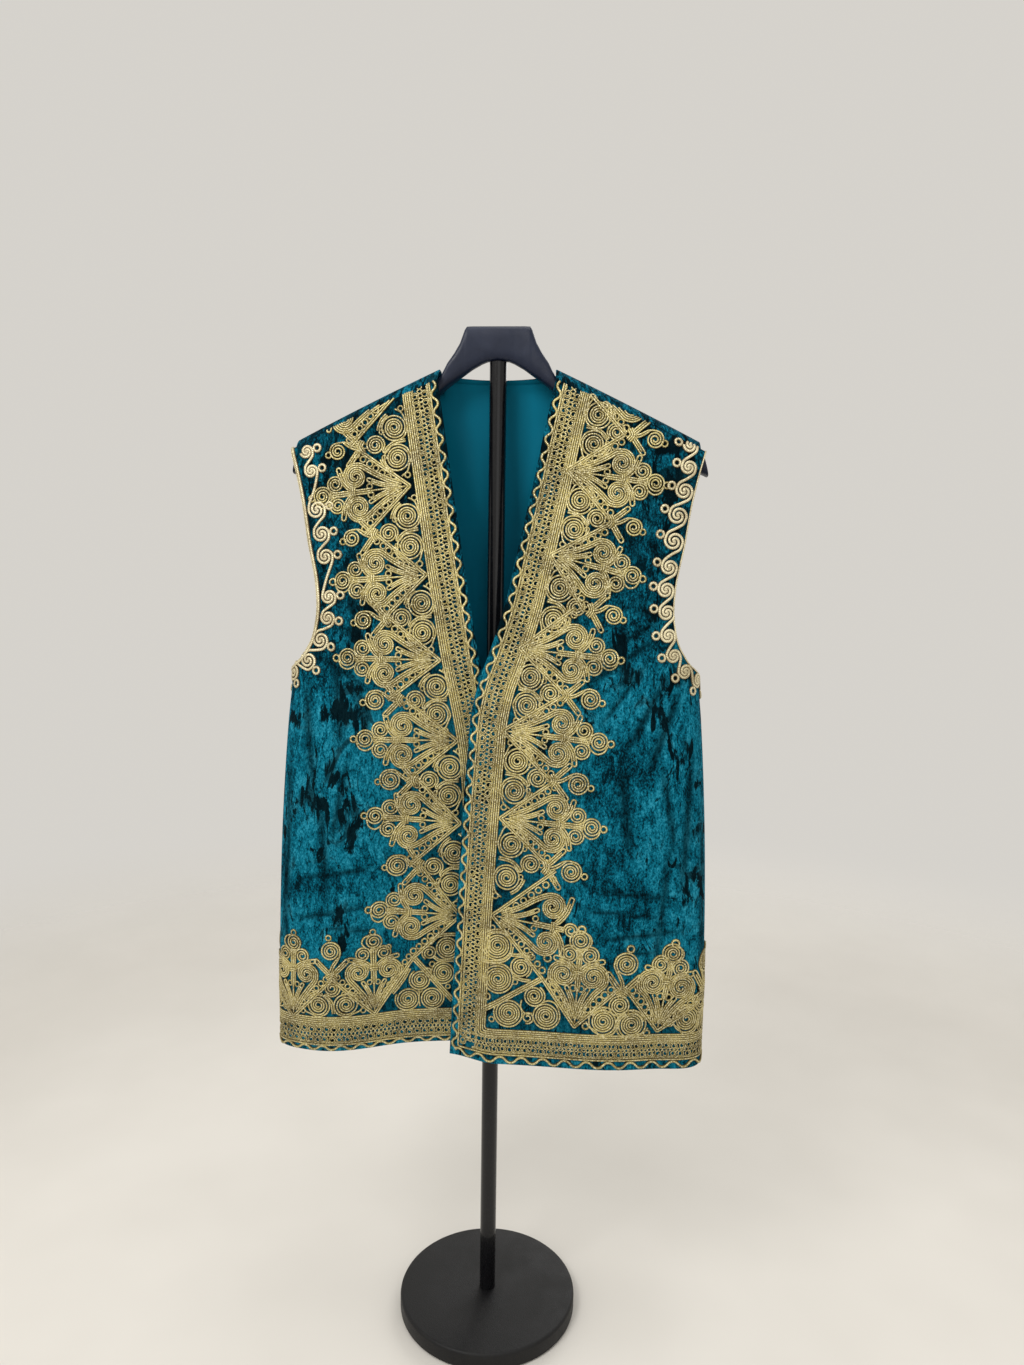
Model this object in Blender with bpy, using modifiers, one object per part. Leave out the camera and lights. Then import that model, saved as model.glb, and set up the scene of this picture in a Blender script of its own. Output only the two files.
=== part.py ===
"""Embroidered folk vest of crushed velvet with couched gold braid, on a round-footed hanger stand.

Metres, +Z up. The origin is the centre of the foot's underside. The hanger runs along X, the vest
faces -Y, and left and right are the wearer's, so the left front is at +X. A cloth panel is drawn
flat, as (around, height): around is measured along the cloth from the centre line towards the
panel's own side seam. The sections table then bends that flat drawing into the worn shape.
"""

import functools
import math
from collections import namedtuple

import bmesh
import bpy
import numpy as np
from mathutils import Vector

# Stand
FOOT_RADIUS = 0.100
FOOT_HEIGHT = 0.020
FOOT_EDGE = 0.0015
POLE_RADIUS = 0.009
POLE_TOP = 1.0606
GAP = 0.0003

# Cloth
HEM_Z = 0.328
UNDERARM_Z = 0.735
NECK_X = 0.0605
NECK_TOP_Z = 1.053
BACK_NECK_Z = 1.046
BACK_NECK_RISE = 0.004
TIP_X = 0.2195
TIP_TOP_Z = 0.975
SHOULDER_CROWN = 0.004
ROLL_RADIUS = 0.022
SEAM_DROP_NECK = 0.015
SEAM_DROP_TIP = 0.009
SEAM_GAP = 0.0006
CLOTH = 0.002
LINING = 0.001
LINING_GAP = 0.0009

# Braid work
BRAID = 0.0013
BRAID_GAP = 0.0004
TRIM_GAP = 0.0012
EDGE_MARGIN = 0.004
BAND_WIDTH = 0.038
MOTIF_REACH = 0.106
SMALL_REACH = 0.074
VALLEY_REACH = 0.054
HEM_REACH = 0.092
HEM_SMALL_REACH = 0.068
HEM_REPEAT = 0.086
HEM_FIRST_MOTIF = {"left": 0.146, "right": 0.126, "back": 0.043}
HEM_MOTIF = ((-0.5, HEM_SMALL_REACH), (-0.33, VALLEY_REACH), (0, HEM_REACH), (0.33, VALLEY_REACH))
CORNER_WIDTH = 0.059
TRIM_MARGIN = 0.003
TRIM_WIDTH = 0.016
TRIM_REPEAT = 0.026
TRIM_STEPS = 42
# The heights of the motifs up each front, from the neck down.
MOTIF_HEIGHTS = {
    "left": (0.946, 0.858, 0.768, 0.681, 0.592, 0.489),
    "right": (0.929, 0.839, 0.751, 0.665, 0.576, 0.472),
}

CUT_SNAP = 0.0015

ARC_SAMPLES = 240
ROLL_STEPS = 6

# The worn cross-section at a height: half width, how far each panel stands off the mid plane, the
# exponent of its rounded outline, from 3 (oval) to 7 (a flat front that turns sharply), how far the
# right front falls back under the left one, and how far the left front's edge turns in over it.
Section = namedtuple("Section", "z half_width left_front right_front back squareness tuck turn")
SECTIONS = [
    Section(0.328, 0.2290, 0.0725, 0.0610, 0.0500, 7.0, 0.036, 0.018),
    Section(0.450, 0.2300, 0.0715, 0.0610, 0.0540, 6.0, 0.033, 0.016),
    Section(0.580, 0.2270, 0.0680, 0.0600, 0.0560, 5.0, 0.025, 0.010),
    Section(0.690, 0.2205, 0.0625, 0.0575, 0.0520, 4.2, 0.013, 0.003),
    Section(0.735, 0.2170, 0.0590, 0.0550, 0.0490, 3.7, 0.006, 0.000),
    Section(0.800, 0.2230, 0.0530, 0.0500, 0.0440, 3.2, 0.000, 0.000),
    Section(0.880, 0.2340, 0.0430, 0.0420, 0.0370, 3.0, 0.000, 0.000),
    Section(0.970, 0.2460, 0.0320, 0.0320, 0.0290, 3.0, 0.000, 0.000),
    Section(1.055, 0.2520, 0.0250, 0.0250, 0.0240, 3.0, 0.000, 0.000),
]

# The opening edge: how far each front's edge stands from the centre line, towards its own side.
Opening = namedtuple("Opening", "z left right")
OPENING = [
    Opening(1.038, 0.0610, 0.0605),
    Opening(0.985, 0.0500, 0.0520),
    Opening(0.936, 0.0405, 0.0440),
    Opening(0.900, 0.0330, 0.0380),
    Opening(0.855, 0.0235, 0.0305),
    Opening(0.811, 0.0140, 0.0225),
    Opening(0.764, 0.0000, 0.0145),
    Opening(0.731, -0.0115, 0.0080),
    Opening(0.700, -0.0185, 0.0020),
    Opening(0.655, -0.0225, -0.0050),
    Opening(0.600, -0.0265, -0.0090),
    Opening(0.500, -0.0320, -0.0105),
    Opening(0.328, -0.0395, -0.0105),
]

# The armhole: how far its edge lies in from the side line, along the cloth.
Armhole = namedtuple("Armhole", "z inset")
ARMHOLE = [
    Armhole(0.735, 0.000),
    Armhole(0.738, 0.016),
    Armhole(0.746, 0.034),
    Armhole(0.762, 0.049),
    Armhole(0.790, 0.059),
    Armhole(0.825, 0.060),
    Armhole(0.870, 0.054),
    Armhole(0.920, 0.049),
    Armhole(0.950, 0.044),
    Armhole(0.968, 0.040),
]

# Where the right front starts to fall back and where it is right back, and the same for the turn
# of the left front's edge, as distances from the centre line.
TUCK_FROM = 0.190
TUCK_TO = 0.020
TURN_FROM = 0.012
TURN_TO = -0.043

# Soft hanging folds of the fronts: centre line, width and depth, fading out above top_z.
Fold = namedtuple("Fold", "x width depth top_z")
FOLDS = {
    "left": [Fold(0.115, 0.050, -0.0040, 0.70), Fold(0.185, 0.026, 0.0050, 0.72)],
    "right": [Fold(0.175, 0.040, -0.0035, 0.66), Fold(0.095, 0.036, 0.0040, 0.64)],
    "back": [
        Fold(-0.150, 0.040, -0.0050, 0.74),
        Fold(-0.080, 0.036, 0.0060, 0.70),
        Fold(0.010, 0.046, -0.0050, 0.76),
        Fold(0.095, 0.038, 0.0060, 0.72),
        Fold(0.165, 0.034, -0.0040, 0.68),
    ],
}

# Columns across a front: first at these distances from its opening edge, then at these shares of
# what is left up to its side, closer together where the section turns.
FRONT_NEAR = (0, EDGE_MARGIN, 0.042)
FRONT_SHARES = (0.16, 0.32, 0.46, 0.56, 0.63, 0.685, 0.74, 0.81, 0.90, 1)
# Rows of a front: above the first motif, between two motifs, and below the last one.
NECK_ROWS = (0.004, 0.026, 0.048, 0.070)
MOTIF_ROWS = (0, 1 / 3, 1 / 2, 2 / 3)
LOW_ROWS = (0.4545, 0.4330, 0.4120, 0.3925, 0.3730, 0.3520, HEM_Z + EDGE_MARGIN, HEM_Z)
# Rows bend towards the side to follow the armhole: height at the opening, and at the side.
Bend = namedtuple("Bend", "z side")
BENDS = [
    Bend(0.900, 0.900),
    Bend(0.858, 0.851),
    Bend(0.828, 0.816),
    Bend(0.813, 0.790),
    Bend(0.795, 0.767),
    Bend(0.768, 0.750),
    Bend(0.745, 0.7405),
    Bend(0.726, 0.7350),
    Bend(0.708, 0.722),
    Bend(0.685, 0.695),
    Bend(0.660, 0.660),
]
BEND_FROM = 0.105
BACK_COLUMNS = (0, 0.145, 0.2885, 0.40, 0.50, 0.60, 0.675, 0.735, 0.79, 0.85, 0.92, 1)
BACK_NECK_COLUMN = 0.2885
BACK_ARMHOLE_ROWS = (0.7350, 0.7385, 0.7460, 0.7600, 0.7800, 0.8080, 0.8430, 0.8850, 0.9250)
LINING_SKIPS = (1, 3, 5, 7, 9)
BACK_ROWS = (HEM_Z, HEM_Z + EDGE_MARGIN, 0.366, 0.400, 0.435, 0.480, 0.530, 0.580, 0.630, 0.675, 0.710)
TIP_ROW_Z = 0.966

# The hanger's outline: top and bottom edges and half its depth, from the centre to the tip.
Rib = namedtuple("Rib", "x top bottom half_depth")
RIBS = [
    Rib(0.0000, 1.0965, 1.0612, 0.0080),
    Rib(0.0110, 1.0965, 1.0610, 0.0080),
    Rib(0.0170, 1.0965, 1.0586, 0.0080),
    Rib(0.0270, 1.0965, 1.0530, 0.0085),
    Rib(0.0330, 1.0962, 1.0488, 0.0090),
    Rib(0.0352, 1.0930, 1.0472, 0.0090),
    Rib(0.0400, 1.0795, 1.0440, 0.0095),
    Rib(0.0460, 1.0690, 1.0398, 0.0100),
    Rib(0.0530, 1.0590, 1.0345, 0.0110),
    Rib(0.0600, 1.0450, 1.0285, 0.0110),
    Rib(0.1000, 1.0260, 1.0050, 0.0130),
    Rib(0.1500, 1.0010, 0.9780, 0.0135),
    Rib(0.2000, 0.9765, 0.9530, 0.0135),
    Rib(0.2200, 0.9655, 0.9440, 0.0130),
]
RIB_CORNERS = 12
RIB_POWER = 3.4


def column_of(table, name):
    return np.array([getattr(row, name) for row in table])


def smooth(table, name, z):
    """The table's named column at height z, along a smooth curve through its rows."""
    heights = column_of(table, "z")
    values = column_of(table, name)
    if heights[0] > heights[-1]:
        heights, values = heights[::-1], values[::-1]
    slopes = np.gradient(values, heights)
    z = min(max(z, heights[0]), heights[-1])
    i = min(int(np.searchsorted(heights, z, "right")) - 1, len(heights) - 2)
    width = heights[i + 1] - heights[i]
    t = (z - heights[i]) / width
    start = values[i] * (1 + 2 * t) * (1 - t) ** 2 + slopes[i] * width * t * (1 - t) ** 2
    end = values[i + 1] * t * t * (3 - 2 * t) - slopes[i + 1] * width * t * t * (1 - t)
    return float(start + end)


def ease(t):
    """0 to 1 with level ends."""
    t = min(max(t, 0.0), 1.0)
    return t * t * (3 - 2 * t)


def shoulder_top(x):
    """Height of the shoulder's ridge line."""
    t = (abs(x) - NECK_X) / (TIP_X - NECK_X)
    crown = SHOULDER_CROWN * max(t, 0) * max(1 - t, 0)
    return NECK_TOP_Z + (TIP_TOP_Z - NECK_TOP_Z) * max(t, 0) + crown


def seam_drop(x):
    """How far below the ridge the shoulder seam lies, in front."""
    t = (abs(x) - NECK_X) / (TIP_X - NECK_X)
    return SEAM_DROP_NECK + (SEAM_DROP_TIP - SEAM_DROP_NECK) * min(max(t, 0), 1)


@functools.lru_cache(maxsize=None)
def quarter_outline(panel, z):
    """The section's outline from the centre line to the side line: lengths along it, x and depth."""
    half_width = smooth(SECTIONS, "half_width", z)
    depth = smooth(SECTIONS, {"left": "left_front", "right": "right_front"}.get(panel, panel), z)
    power = smooth(SECTIONS, "squareness", z)
    angle = np.linspace(0, math.pi / 2, ARC_SAMPLES)
    radius = (np.sin(angle) ** power + np.cos(angle) ** power) ** (-1 / power)
    x, y = half_width * radius * np.sin(angle), depth * radius * np.cos(angle)
    along = np.concatenate([[0], np.cumsum(np.hypot(np.diff(x), np.diff(y)))])
    return along, x, y, half_width


def side_line(panel, z):
    """Length along the cloth from the centre line to the side line."""
    return float(quarter_outline(panel, z)[0][-1])


def fold_depth(panel, x, z):
    total = 0.0
    for fold in FOLDS[panel]:
        fade = ease((fold.top_z - z) / (fold.top_z - HEM_Z))
        total += fold.depth * fade * math.exp(-(((x - fold.x) / fold.width) ** 2))
    return total


def overlap_depth(panel, x, z):
    """How far the two fronts' edges move back where one lies on the other."""
    if panel == "right":
        return smooth(SECTIONS, "tuck", z) * ease((TUCK_FROM - x) / (TUCK_FROM - TUCK_TO))
    if panel == "left":
        return smooth(SECTIONS, "turn", z) * ease((TURN_FROM - x) / (TURN_FROM - TURN_TO))
    return 0.0


def cloth_point(panel, around, z):
    """The point of a panel's outer face that the flat drawing's (around, z) becomes."""
    along, xs, ys, half_width = quarter_outline(panel, z)
    reach = abs(around)
    x = float(np.interp(reach, along, xs))
    depth = float(np.interp(reach, along, ys))
    below = shoulder_top(x) - z
    if below < ROLL_RADIUS:
        depth *= math.sqrt(max(1 - (1 - max(below, 0) / ROLL_RADIUS) ** 2, 0))
    level = 1 - (x / half_width) ** 4
    x = math.copysign(x, around)
    depth -= (fold_depth(panel, x, z) + overlap_depth(panel, x, z)) * level
    if panel == "back":
        return Vector((x, depth, z))
    return Vector((x if panel == "left" else -x, -depth, z))


def width_at(panel, around, z):
    """Distance from the centre plane of a place on the flat drawing."""
    along, xs, _, _ = quarter_outline(panel, z)
    return float(np.interp(abs(around), along, xs))


def height_below_ridge(panel, around, drop):
    """Height on the flat drawing that lies drop(x) below the shoulder's ridge."""
    z = 1.0
    for _ in range(8):
        x = width_at(panel, around, z)
        z = shoulder_top(x) - drop(x)
    return z


def armhole_edge(panel, z):
    """How far round the cloth a panel reaches at a height: to its armhole, or to the side seam."""
    side = side_line(panel, z)
    if z <= UNDERARM_Z:
        return side - SEAM_GAP / 2
    return side - SEAM_GAP / 2 - smooth(ARMHOLE, "inset", z)


def face_direction(panel, around, z):
    """The cloth's outward direction at a place on the flat drawing."""
    step = 0.0015
    aside = cloth_point(panel, around + step, z) - cloth_point(panel, around - step, z)
    upward = cloth_point(panel, around, z + step) - cloth_point(panel, around, z - step)
    outward = aside.cross(upward).normalized()
    place = cloth_point(panel, around, z)
    return outward if outward.x * place.x + 3 * outward.y * place.y > 0 else -outward


class Panel:
    """A cloth panel's grid: the flat drawing's places and the worn points of its outer face."""

    def __init__(self, name, flat, last_rows=()):
        self.name = name
        self.flat = flat
        self.drawn = np.array(flat)
        self.points = [[cloth_point(name, a, z) for a, z in row] for row in flat]
        self.points += last_rows
        self.facing = self.directions()

    def directions(self):
        """Outward direction at every point, the mean of the facets round it."""
        rows, columns = len(self.points), len(self.points[0])
        total = [[Vector((0, 0, 0)) for _ in range(columns)] for _ in range(rows)]
        for i in range(rows - 1):
            for j in range(columns - 1):
                cell = [(i, j), (i, j + 1), (i + 1, j + 1), (i + 1, j)]
                a, b, c, d = (self.points[r][k] for r, k in cell)
                for r, k in cell:
                    total[r][k] += (c - a).cross(d - b).normalized()
        probe = total[rows // 2][columns // 2]
        sign = 1 if (probe.y > 0) == (self.name == "back") else -1
        total = [[(v * sign).normalized() for v in row] for row in total]
        for i, row in enumerate(self.flat):
            total[i] = [face_direction(self.name, around, z) for around, z in row]
        return total

    def mirrored(self, column):
        """Whether the cells of a column are split from their lower outer corner."""
        return self.name != "back" or column < len(self.flat[0]) // 2

    def on_face(self, around, z):
        """The worn point and outward direction at a place on the flat drawing."""
        heights = [float(np.interp(around, row[:, 0], row[:, 1])) for row in self.drawn]
        order = 1 if heights[-1] > heights[0] else -1
        upward = heights[::order]
        i = min(max(int(np.searchsorted(upward, z, "right")) - 1, 0), len(heights) - 2)
        share = min(max((z - upward[i]) / (upward[i + 1] - upward[i]), 0), 1)
        if order < 0:
            i, share = len(heights) - 2 - i, 1 - share
        edges = self.drawn[i, :, 0] * (1 - share) + self.drawn[i + 1, :, 0] * share
        j = min(max(int(np.searchsorted(edges, around, "right")) - 1, 0), len(edges) - 2)
        across = min(max((around - edges[j]) / (edges[j + 1] - edges[j]), 0), 1)
        found = []
        start, end = (j, j + 1) if not self.mirrored(j) else (j + 1, j)
        across = across if not self.mirrored(j) else 1 - across
        for grid in (self.points, self.facing):
            near, far = grid[i][start], grid[i + 1][end]
            if across >= share:
                turn = grid[i][end]
                found.append(near + (turn - near) * across + (far - turn) * share)
            else:
                turn = grid[i + 1][start]
                found.append(near + (turn - near) * share + (far - turn) * across)
        return found[0], found[1].normalized()


def front_rows(panel):
    """Heights of a front's rows at its opening edge, from the shoulder seam down to the hem."""
    motifs = MOTIF_HEIGHTS[panel]
    seam = height_below_ridge(panel, smooth(OPENING, panel, 1.038), seam_drop)
    rows = [seam] + [seam - drop for drop in NECK_ROWS]
    for high, low in zip(motifs, motifs[1:]):
        rows += [high + (low - high) * share for share in MOTIF_ROWS]
    rows.append(motifs[-1])
    return rows + [z for z in LOW_ROWS if z < motifs[-1] - 0.01]


def front_panel(panel):
    first = MOTIF_HEIGHTS[panel][0]
    heights = front_rows(panel)
    inner, side_of = column_of(BENDS, "z")[::-1], column_of(BENDS, "side")[::-1]
    outer = [float(np.interp(z, inner, side_of)) if 0.66 < z < 0.90 else z for z in heights]
    near = min(outer, key=lambda z: abs(z - UNDERARM_Z))
    outer[outer.index(near)] = UNDERARM_Z
    flat = []
    for i, (inner_z, outer_z) in enumerate(zip(heights, outer)):
        edge = smooth(OPENING, panel, inner_z)
        if inner_z > first:
            outer_z = first + (TIP_ROW_Z - first) * (inner_z - first) / (heights[0] - first)
        side = armhole_edge(panel, outer_z)
        start = edge + FRONT_NEAR[-1]
        places = [edge + d for d in FRONT_NEAR] + [start + (side - start) * s for s in FRONT_SHARES]
        row = []
        for a in places:
            share = (a - edge) / (side - edge)
            if inner_z <= first:
                share = max(a - edge - BEND_FROM, 0) / (side - edge - BEND_FROM)
            z = inner_z + (outer_z - inner_z) * share
            if i == 0:
                z = height_below_ridge(panel, a, seam_drop)
            row.append((a, z))
        flat.append(row)
    return Panel(panel, flat)


def back_panel():
    columns = [-c for c in BACK_COLUMNS[:0:-1]] + list(BACK_COLUMNS)
    tip_z = TIP_TOP_Z - ROLL_RADIUS
    heights = [*BACK_ROWS, *BACK_ARMHOLE_ROWS, tip_z]
    flat = []
    for i, side_z in enumerate(heights):
        side = armhole_edge("back", side_z)
        even = max(i - len(BACK_ROWS), 0) / len(BACK_ARMHOLE_ROWS)
        share = max(side_z - UNDERARM_Z, 0) / (tip_z - UNDERARM_Z)
        row = []
        for column in columns:
            top = height_below_ridge("back", column * side, lambda x: ROLL_RADIUS)
            lift = share + (even - share) * (1 - abs(column) ** 3)
            row.append((column * side, min(side_z, UNDERARM_Z) + (top - UNDERARM_Z) * lift))
        flat.append(row)
    rows, facing = shoulder_rows(columns, flat[-1])
    made = Panel("back", flat, rows)
    made.facing[-1] = facing
    return made, columns


def shoulder_rows(columns, last):
    """The back's points past its top row, over each shoulder and down to the seam in front."""
    rows = []
    for step in range(1, ROLL_STEPS + 1):
        row = []
        for column, (around, low_z) in zip(columns, last):
            share = 2 * step / ROLL_STEPS
            if abs(column) < BACK_NECK_COLUMN - 1e-6:
                neck_z = BACK_NECK_Z + BACK_NECK_RISE * (width_at("back", around, 1.04) / NECK_X) ** 2
                row.append(cloth_point("back", around, neck_z))
                continue
            if share <= 1:
                below = ROLL_RADIUS * (1 - math.sin(math.pi / 2 * share))
                z = height_below_ridge("back", around, lambda x: below)
                row.append(cloth_point("back", around, z))
                continue
            part = (share - 1) ** 2
            z = height_below_ridge("left", around, lambda x: (seam_drop(x) - SEAM_GAP) * part)
            point = cloth_point("left", abs(around), z)
            row.append(Vector((math.copysign(point.x, around), point.y, point.z)))
        rows.append(row)
    facing = []
    for around, _ in last:
        z = height_below_ridge("left", around, lambda x: seam_drop(x) - SEAM_GAP)
        outward = face_direction("left", abs(around), z)
        facing.append(Vector((math.copysign(outward.x, around), outward.y, outward.z)))
    return rows, facing


def material(name, colour, roughness, metallic=0.0):
    made = bpy.data.materials.new(name)
    made.use_nodes = True
    shader = made.node_tree.nodes["Principled BSDF"]
    shader.inputs["Base Color"].default_value = (*colour, 1)
    shader.inputs["Roughness"].default_value = roughness
    shader.inputs["Metallic"].default_value = metallic
    return made


def new_object(name, bm, finish):
    mesh = bpy.data.meshes.new(name)
    bm.normal_update()
    bm.to_mesh(mesh)
    bm.free()
    mesh.materials.append(finish)
    made = bpy.data.objects.new(name, mesh)
    PARTS.objects.link(made)
    return made


def between(name, bm, low, high, finish):
    """A closed wall from an open sheet: low and high give each point's two heights off it."""
    lower = {v: low(v) for v in bm.verts}
    upper = {v: high(v) for v in bm.verts}
    solid = bmesh.new()
    bottom = {v: solid.verts.new(place) for v, place in lower.items()}
    top = {v: solid.verts.new(place) for v, place in upper.items()}
    for face in bm.faces:
        solid.faces.new([top[v] for v in face.verts])
        solid.faces.new([bottom[v] for v in reversed(face.verts)])
    for edge in bm.edges:
        if len(edge.link_faces) == 1:
            a, b = edge.verts
            solid.faces.new((top[a], top[b], bottom[b], bottom[a]))
    for bare in [v for v in solid.verts if not v.link_faces]:
        solid.verts.remove(bare)
    bmesh.ops.recalc_face_normals(solid, faces=solid.faces)
    bmesh.ops.triangulate(solid, faces=solid.faces)
    bm.free()
    return new_object(name, solid, finish)


def sheet(panel, drawn_rows=None):
    """A panel's grid as a mesh drawn flat, each point carrying its worn place and direction."""
    bm = bmesh.new()
    worn = bm.verts.layers.float_vector.new("worn")
    facing = bm.verts.layers.float_vector.new("facing")
    grid = []
    for i in range(drawn_rows or len(panel.points)):
        row = []
        for j in range(len(panel.points[0])):
            flat = panel.flat[i][j] if i < len(panel.flat) else (j, 2 + i)
            vert = bm.verts.new((flat[0], flat[1], 0))
            vert[worn] = panel.points[i][j]
            vert[facing] = panel.facing[i][j]
            row.append(vert)
        grid.append(row)
    for first, second in zip(grid, grid[1:]):
        for j in range(len(first) - 1):
            if panel.mirrored(j):
                bm.faces.new((first[j], first[j + 1], second[j]))
                bm.faces.new((first[j + 1], second[j + 1], second[j]))
            else:
                bm.faces.new((first[j], first[j + 1], second[j + 1]))
                bm.faces.new((first[j], second[j + 1], second[j]))
    return bm, worn, facing, grid


def wall(name, panel, outer, thickness, finish, keep=None):
    """A panel's cloth: its outer face this far off the panel's points, and its thickness inwards."""
    bm, worn, facing, grid = sheet(panel)
    if keep:
        place = {v: (i, j) for i, row in enumerate(grid) for j, v in enumerate(row)}
        doomed = []
        for face in bm.faces:
            cells = [place[v] for v in face.verts]
            if not keep(min(c[0] for c in cells), min(c[1] for c in cells)):
                doomed.append(face)
        bmesh.ops.delete(bm, geom=doomed, context="FACES")
    return between(
        name,
        bm,
        lambda v: v[worn] + v[facing] * (outer - thickness),
        lambda v: v[worn] + v[facing] * outer,
        finish,
    )


def cut(bm, faces, start, ahead):
    """Cut some faces of the flat drawing along the line through start."""
    edges = list({e for f in faces for e in f.edges})
    verts = list({v for f in faces for v in f.verts})
    bmesh.ops.bisect_plane(
        bm,
        geom=verts + edges + faces,
        dist=CUT_SNAP,
        plane_co=(start[0], start[1], 0),
        plane_no=Vector((ahead[1], -ahead[0], 0)).normalized(),
    )


def cut_zigzag(bm, corners, along, top_z):
    """Cut the flat drawing along a zigzag of corners, and straight across it at each corner."""
    across = (1, 0) if along else (0, 1)
    for corner in corners:
        cut(bm, [f for f in bm.faces if f.calc_center_median().y < top_z], corner, across)
    for start, end in zip(corners, corners[1:]):
        low, high = sorted((start[along], end[along]))
        strip = [f for f in bm.faces if low < f.calc_center_median()[along] < high]
        cut(bm, strip, start, (end[0] - start[0], end[1] - start[1]))


def front_outline(panel):
    """Corners of the front motifs' inner edge, as (around, height), from the neck down."""
    motifs = MOTIF_HEIGHTS[panel]
    steps = [(1.050, VALLEY_REACH), (motifs[0] + 0.046, SMALL_REACH)]
    steps.append((motifs[0] + 0.030, VALLEY_REACH))
    for k, z in enumerate(motifs):
        steps.append((z, MOTIF_REACH))
        gap = z - motifs[k + 1] if k + 1 < len(motifs) else 0.088
        if k + 1 < len(motifs):
            steps += [(z - gap * MOTIF_ROWS[1], VALLEY_REACH), (z - gap * MOTIF_ROWS[2], SMALL_REACH)]
            steps.append((z - gap * MOTIF_ROWS[3], VALLEY_REACH))
        else:
            steps += [(z - gap * 0.5, CORNER_WIDTH - BAND_WIDTH), (HEM_Z, CORNER_WIDTH - BAND_WIDTH)]
    return [(smooth(OPENING, panel, z) + BAND_WIDTH + reach, z) for z, reach in steps]


def hem_outline(panel, edge, side):
    """Corners of the hem motifs' upper edge, as (around, height)."""
    first = edge + HEM_FIRST_MOTIF[panel] - 2 * HEM_REPEAT
    corners = []
    for k in range(math.ceil((side - first) / HEM_REPEAT) + 1):
        middle = first + HEM_REPEAT * k
        for shift, reach in HEM_MOTIF:
            corners.append((middle + HEM_REPEAT * shift, HEM_Z + BAND_WIDTH + reach))
    return corners


def within(corners, along, across, place):
    """Whether a place lies on the near side of the corners' zigzag line."""
    keys = [c[along] for c in corners]
    values = [c[across] for c in corners]
    if keys[0] > keys[-1]:
        keys, values = keys[::-1], values[::-1]
    if not keys[0] < place[along] < keys[-1]:
        return False
    return place[across] < np.interp(place[along], keys, values)


def braid_field(name, panel, finish):
    """The border and motifs of one panel, cut from its flat drawing and lifted off it."""
    bm, worn, facing, grid = sheet(panel, len(panel.flat))
    bare = {v for line in grid[-2:] for v in line} if panel.name != "back" else set(grid[0] + grid[1])
    margins = [bare]
    if panel.name != "back":
        margins += [{v for line in grid[:2] for v in line}, {v for line in grid for v in line[:2]}]
    doomed = [f for f in bm.faces if any(set(f.verts) <= margin for margin in margins)]
    bmesh.ops.delete(bm, geom=doomed, context="FACES")
    side = side_line(panel.name, HEM_Z)
    front = []
    if panel.name == "back":
        edge = -side
    else:
        edge = smooth(OPENING, panel.name, HEM_Z)
        front = front_outline(panel.name)
    hem = hem_outline(panel.name, edge, side)
    top_z = HEM_Z + BAND_WIDTH + HEM_REACH + 0.01
    if panel.name == "back":
        high = [f for f in bm.faces if f.calc_center_median().y > top_z + 0.02]
        bmesh.ops.delete(bm, geom=high, context="FACES")
    cut_zigzag(bm, front, 1, NECK_TOP_Z)
    cut_zigzag(bm, hem, 0, top_z)
    doomed = []
    for face in bm.faces:
        centre = face.calc_center_median()
        inside = within(hem, 0, 1, centre) if centre.x > edge + 0.03 or not front else False
        if not inside and not (front and within(front, 1, 0, centre)):
            doomed.append(face)
    bmesh.ops.delete(bm, geom=doomed, context="FACES")
    return between(
        name,
        bm,
        lambda v: v[worn] + v[facing] * BRAID_GAP,
        lambda v: v[worn] + v[facing] * (BRAID_GAP + BRAID),
        finish,
    )


def armhole_line(panel, turns):
    """Flat places and inward directions along a panel's armhole, from the shoulder to the side."""
    top = TIP_ROW_Z - EDGE_MARGIN if panel.name != "back" else TIP_TOP_Z - ROLL_RADIUS - 0.001
    heights = [top] + [a.z for a in ARMHOLE[::-1] if a.z < top]
    path = np.array([(armhole_edge(panel.name, z), z) for z in heights])
    length = np.concatenate([[0], np.cumsum(np.hypot(*np.diff(path, axis=0).T))])
    at = np.linspace(0, length[-1], turns)
    line = np.stack([np.interp(at, length, path[:, k]) for k in range(2)], axis=1)
    ahead = np.gradient(line, axis=0)
    ahead /= np.linalg.norm(ahead, axis=1)[:, None]
    inward = np.stack([ahead[:, 1], -ahead[:, 0]], axis=1)
    inward[-1] = (0, -1)
    return line, inward, at


def armhole_braid(panel, sign, name, finish):
    """The trim along one armhole, its inner edge waved by the row of curls."""
    line, inward, at = armhole_line(panel, TRIM_STEPS)
    bm = bmesh.new()
    worn = bm.verts.layers.float_vector.new("worn")
    facing = bm.verts.layers.float_vector.new("facing")
    rows = []
    for (around, z), (da, dz), run in zip(line, inward, at):
        wave = 0.5 - 0.5 * math.cos(2 * math.pi * run / TRIM_REPEAT)
        width = TRIM_WIDTH * (0.72 + 0.28 * wave)
        row = []
        for distance in (TRIM_MARGIN, TRIM_MARGIN + width / 2, TRIM_MARGIN + width):
            a, height = around + da * distance, z + dz * distance
            limit = side_line(panel.name, height) - SEAM_GAP
            point, outward = panel.on_face(sign * min(a, limit), height)
            vert = bm.verts.new((a, height, 0))
            vert[worn] = point
            vert[facing] = outward
            row.append(vert)
        rows.append(row)
    for first, second in zip(rows, rows[1:]):
        for j in range(2):
            bm.faces.new((first[j], first[j + 1], second[j + 1], second[j]))
    return between(
        name,
        bm,
        lambda v: v[worn] + v[facing] * TRIM_GAP,
        lambda v: v[worn] + v[facing] * (TRIM_GAP + BRAID),
        finish,
    )


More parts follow.
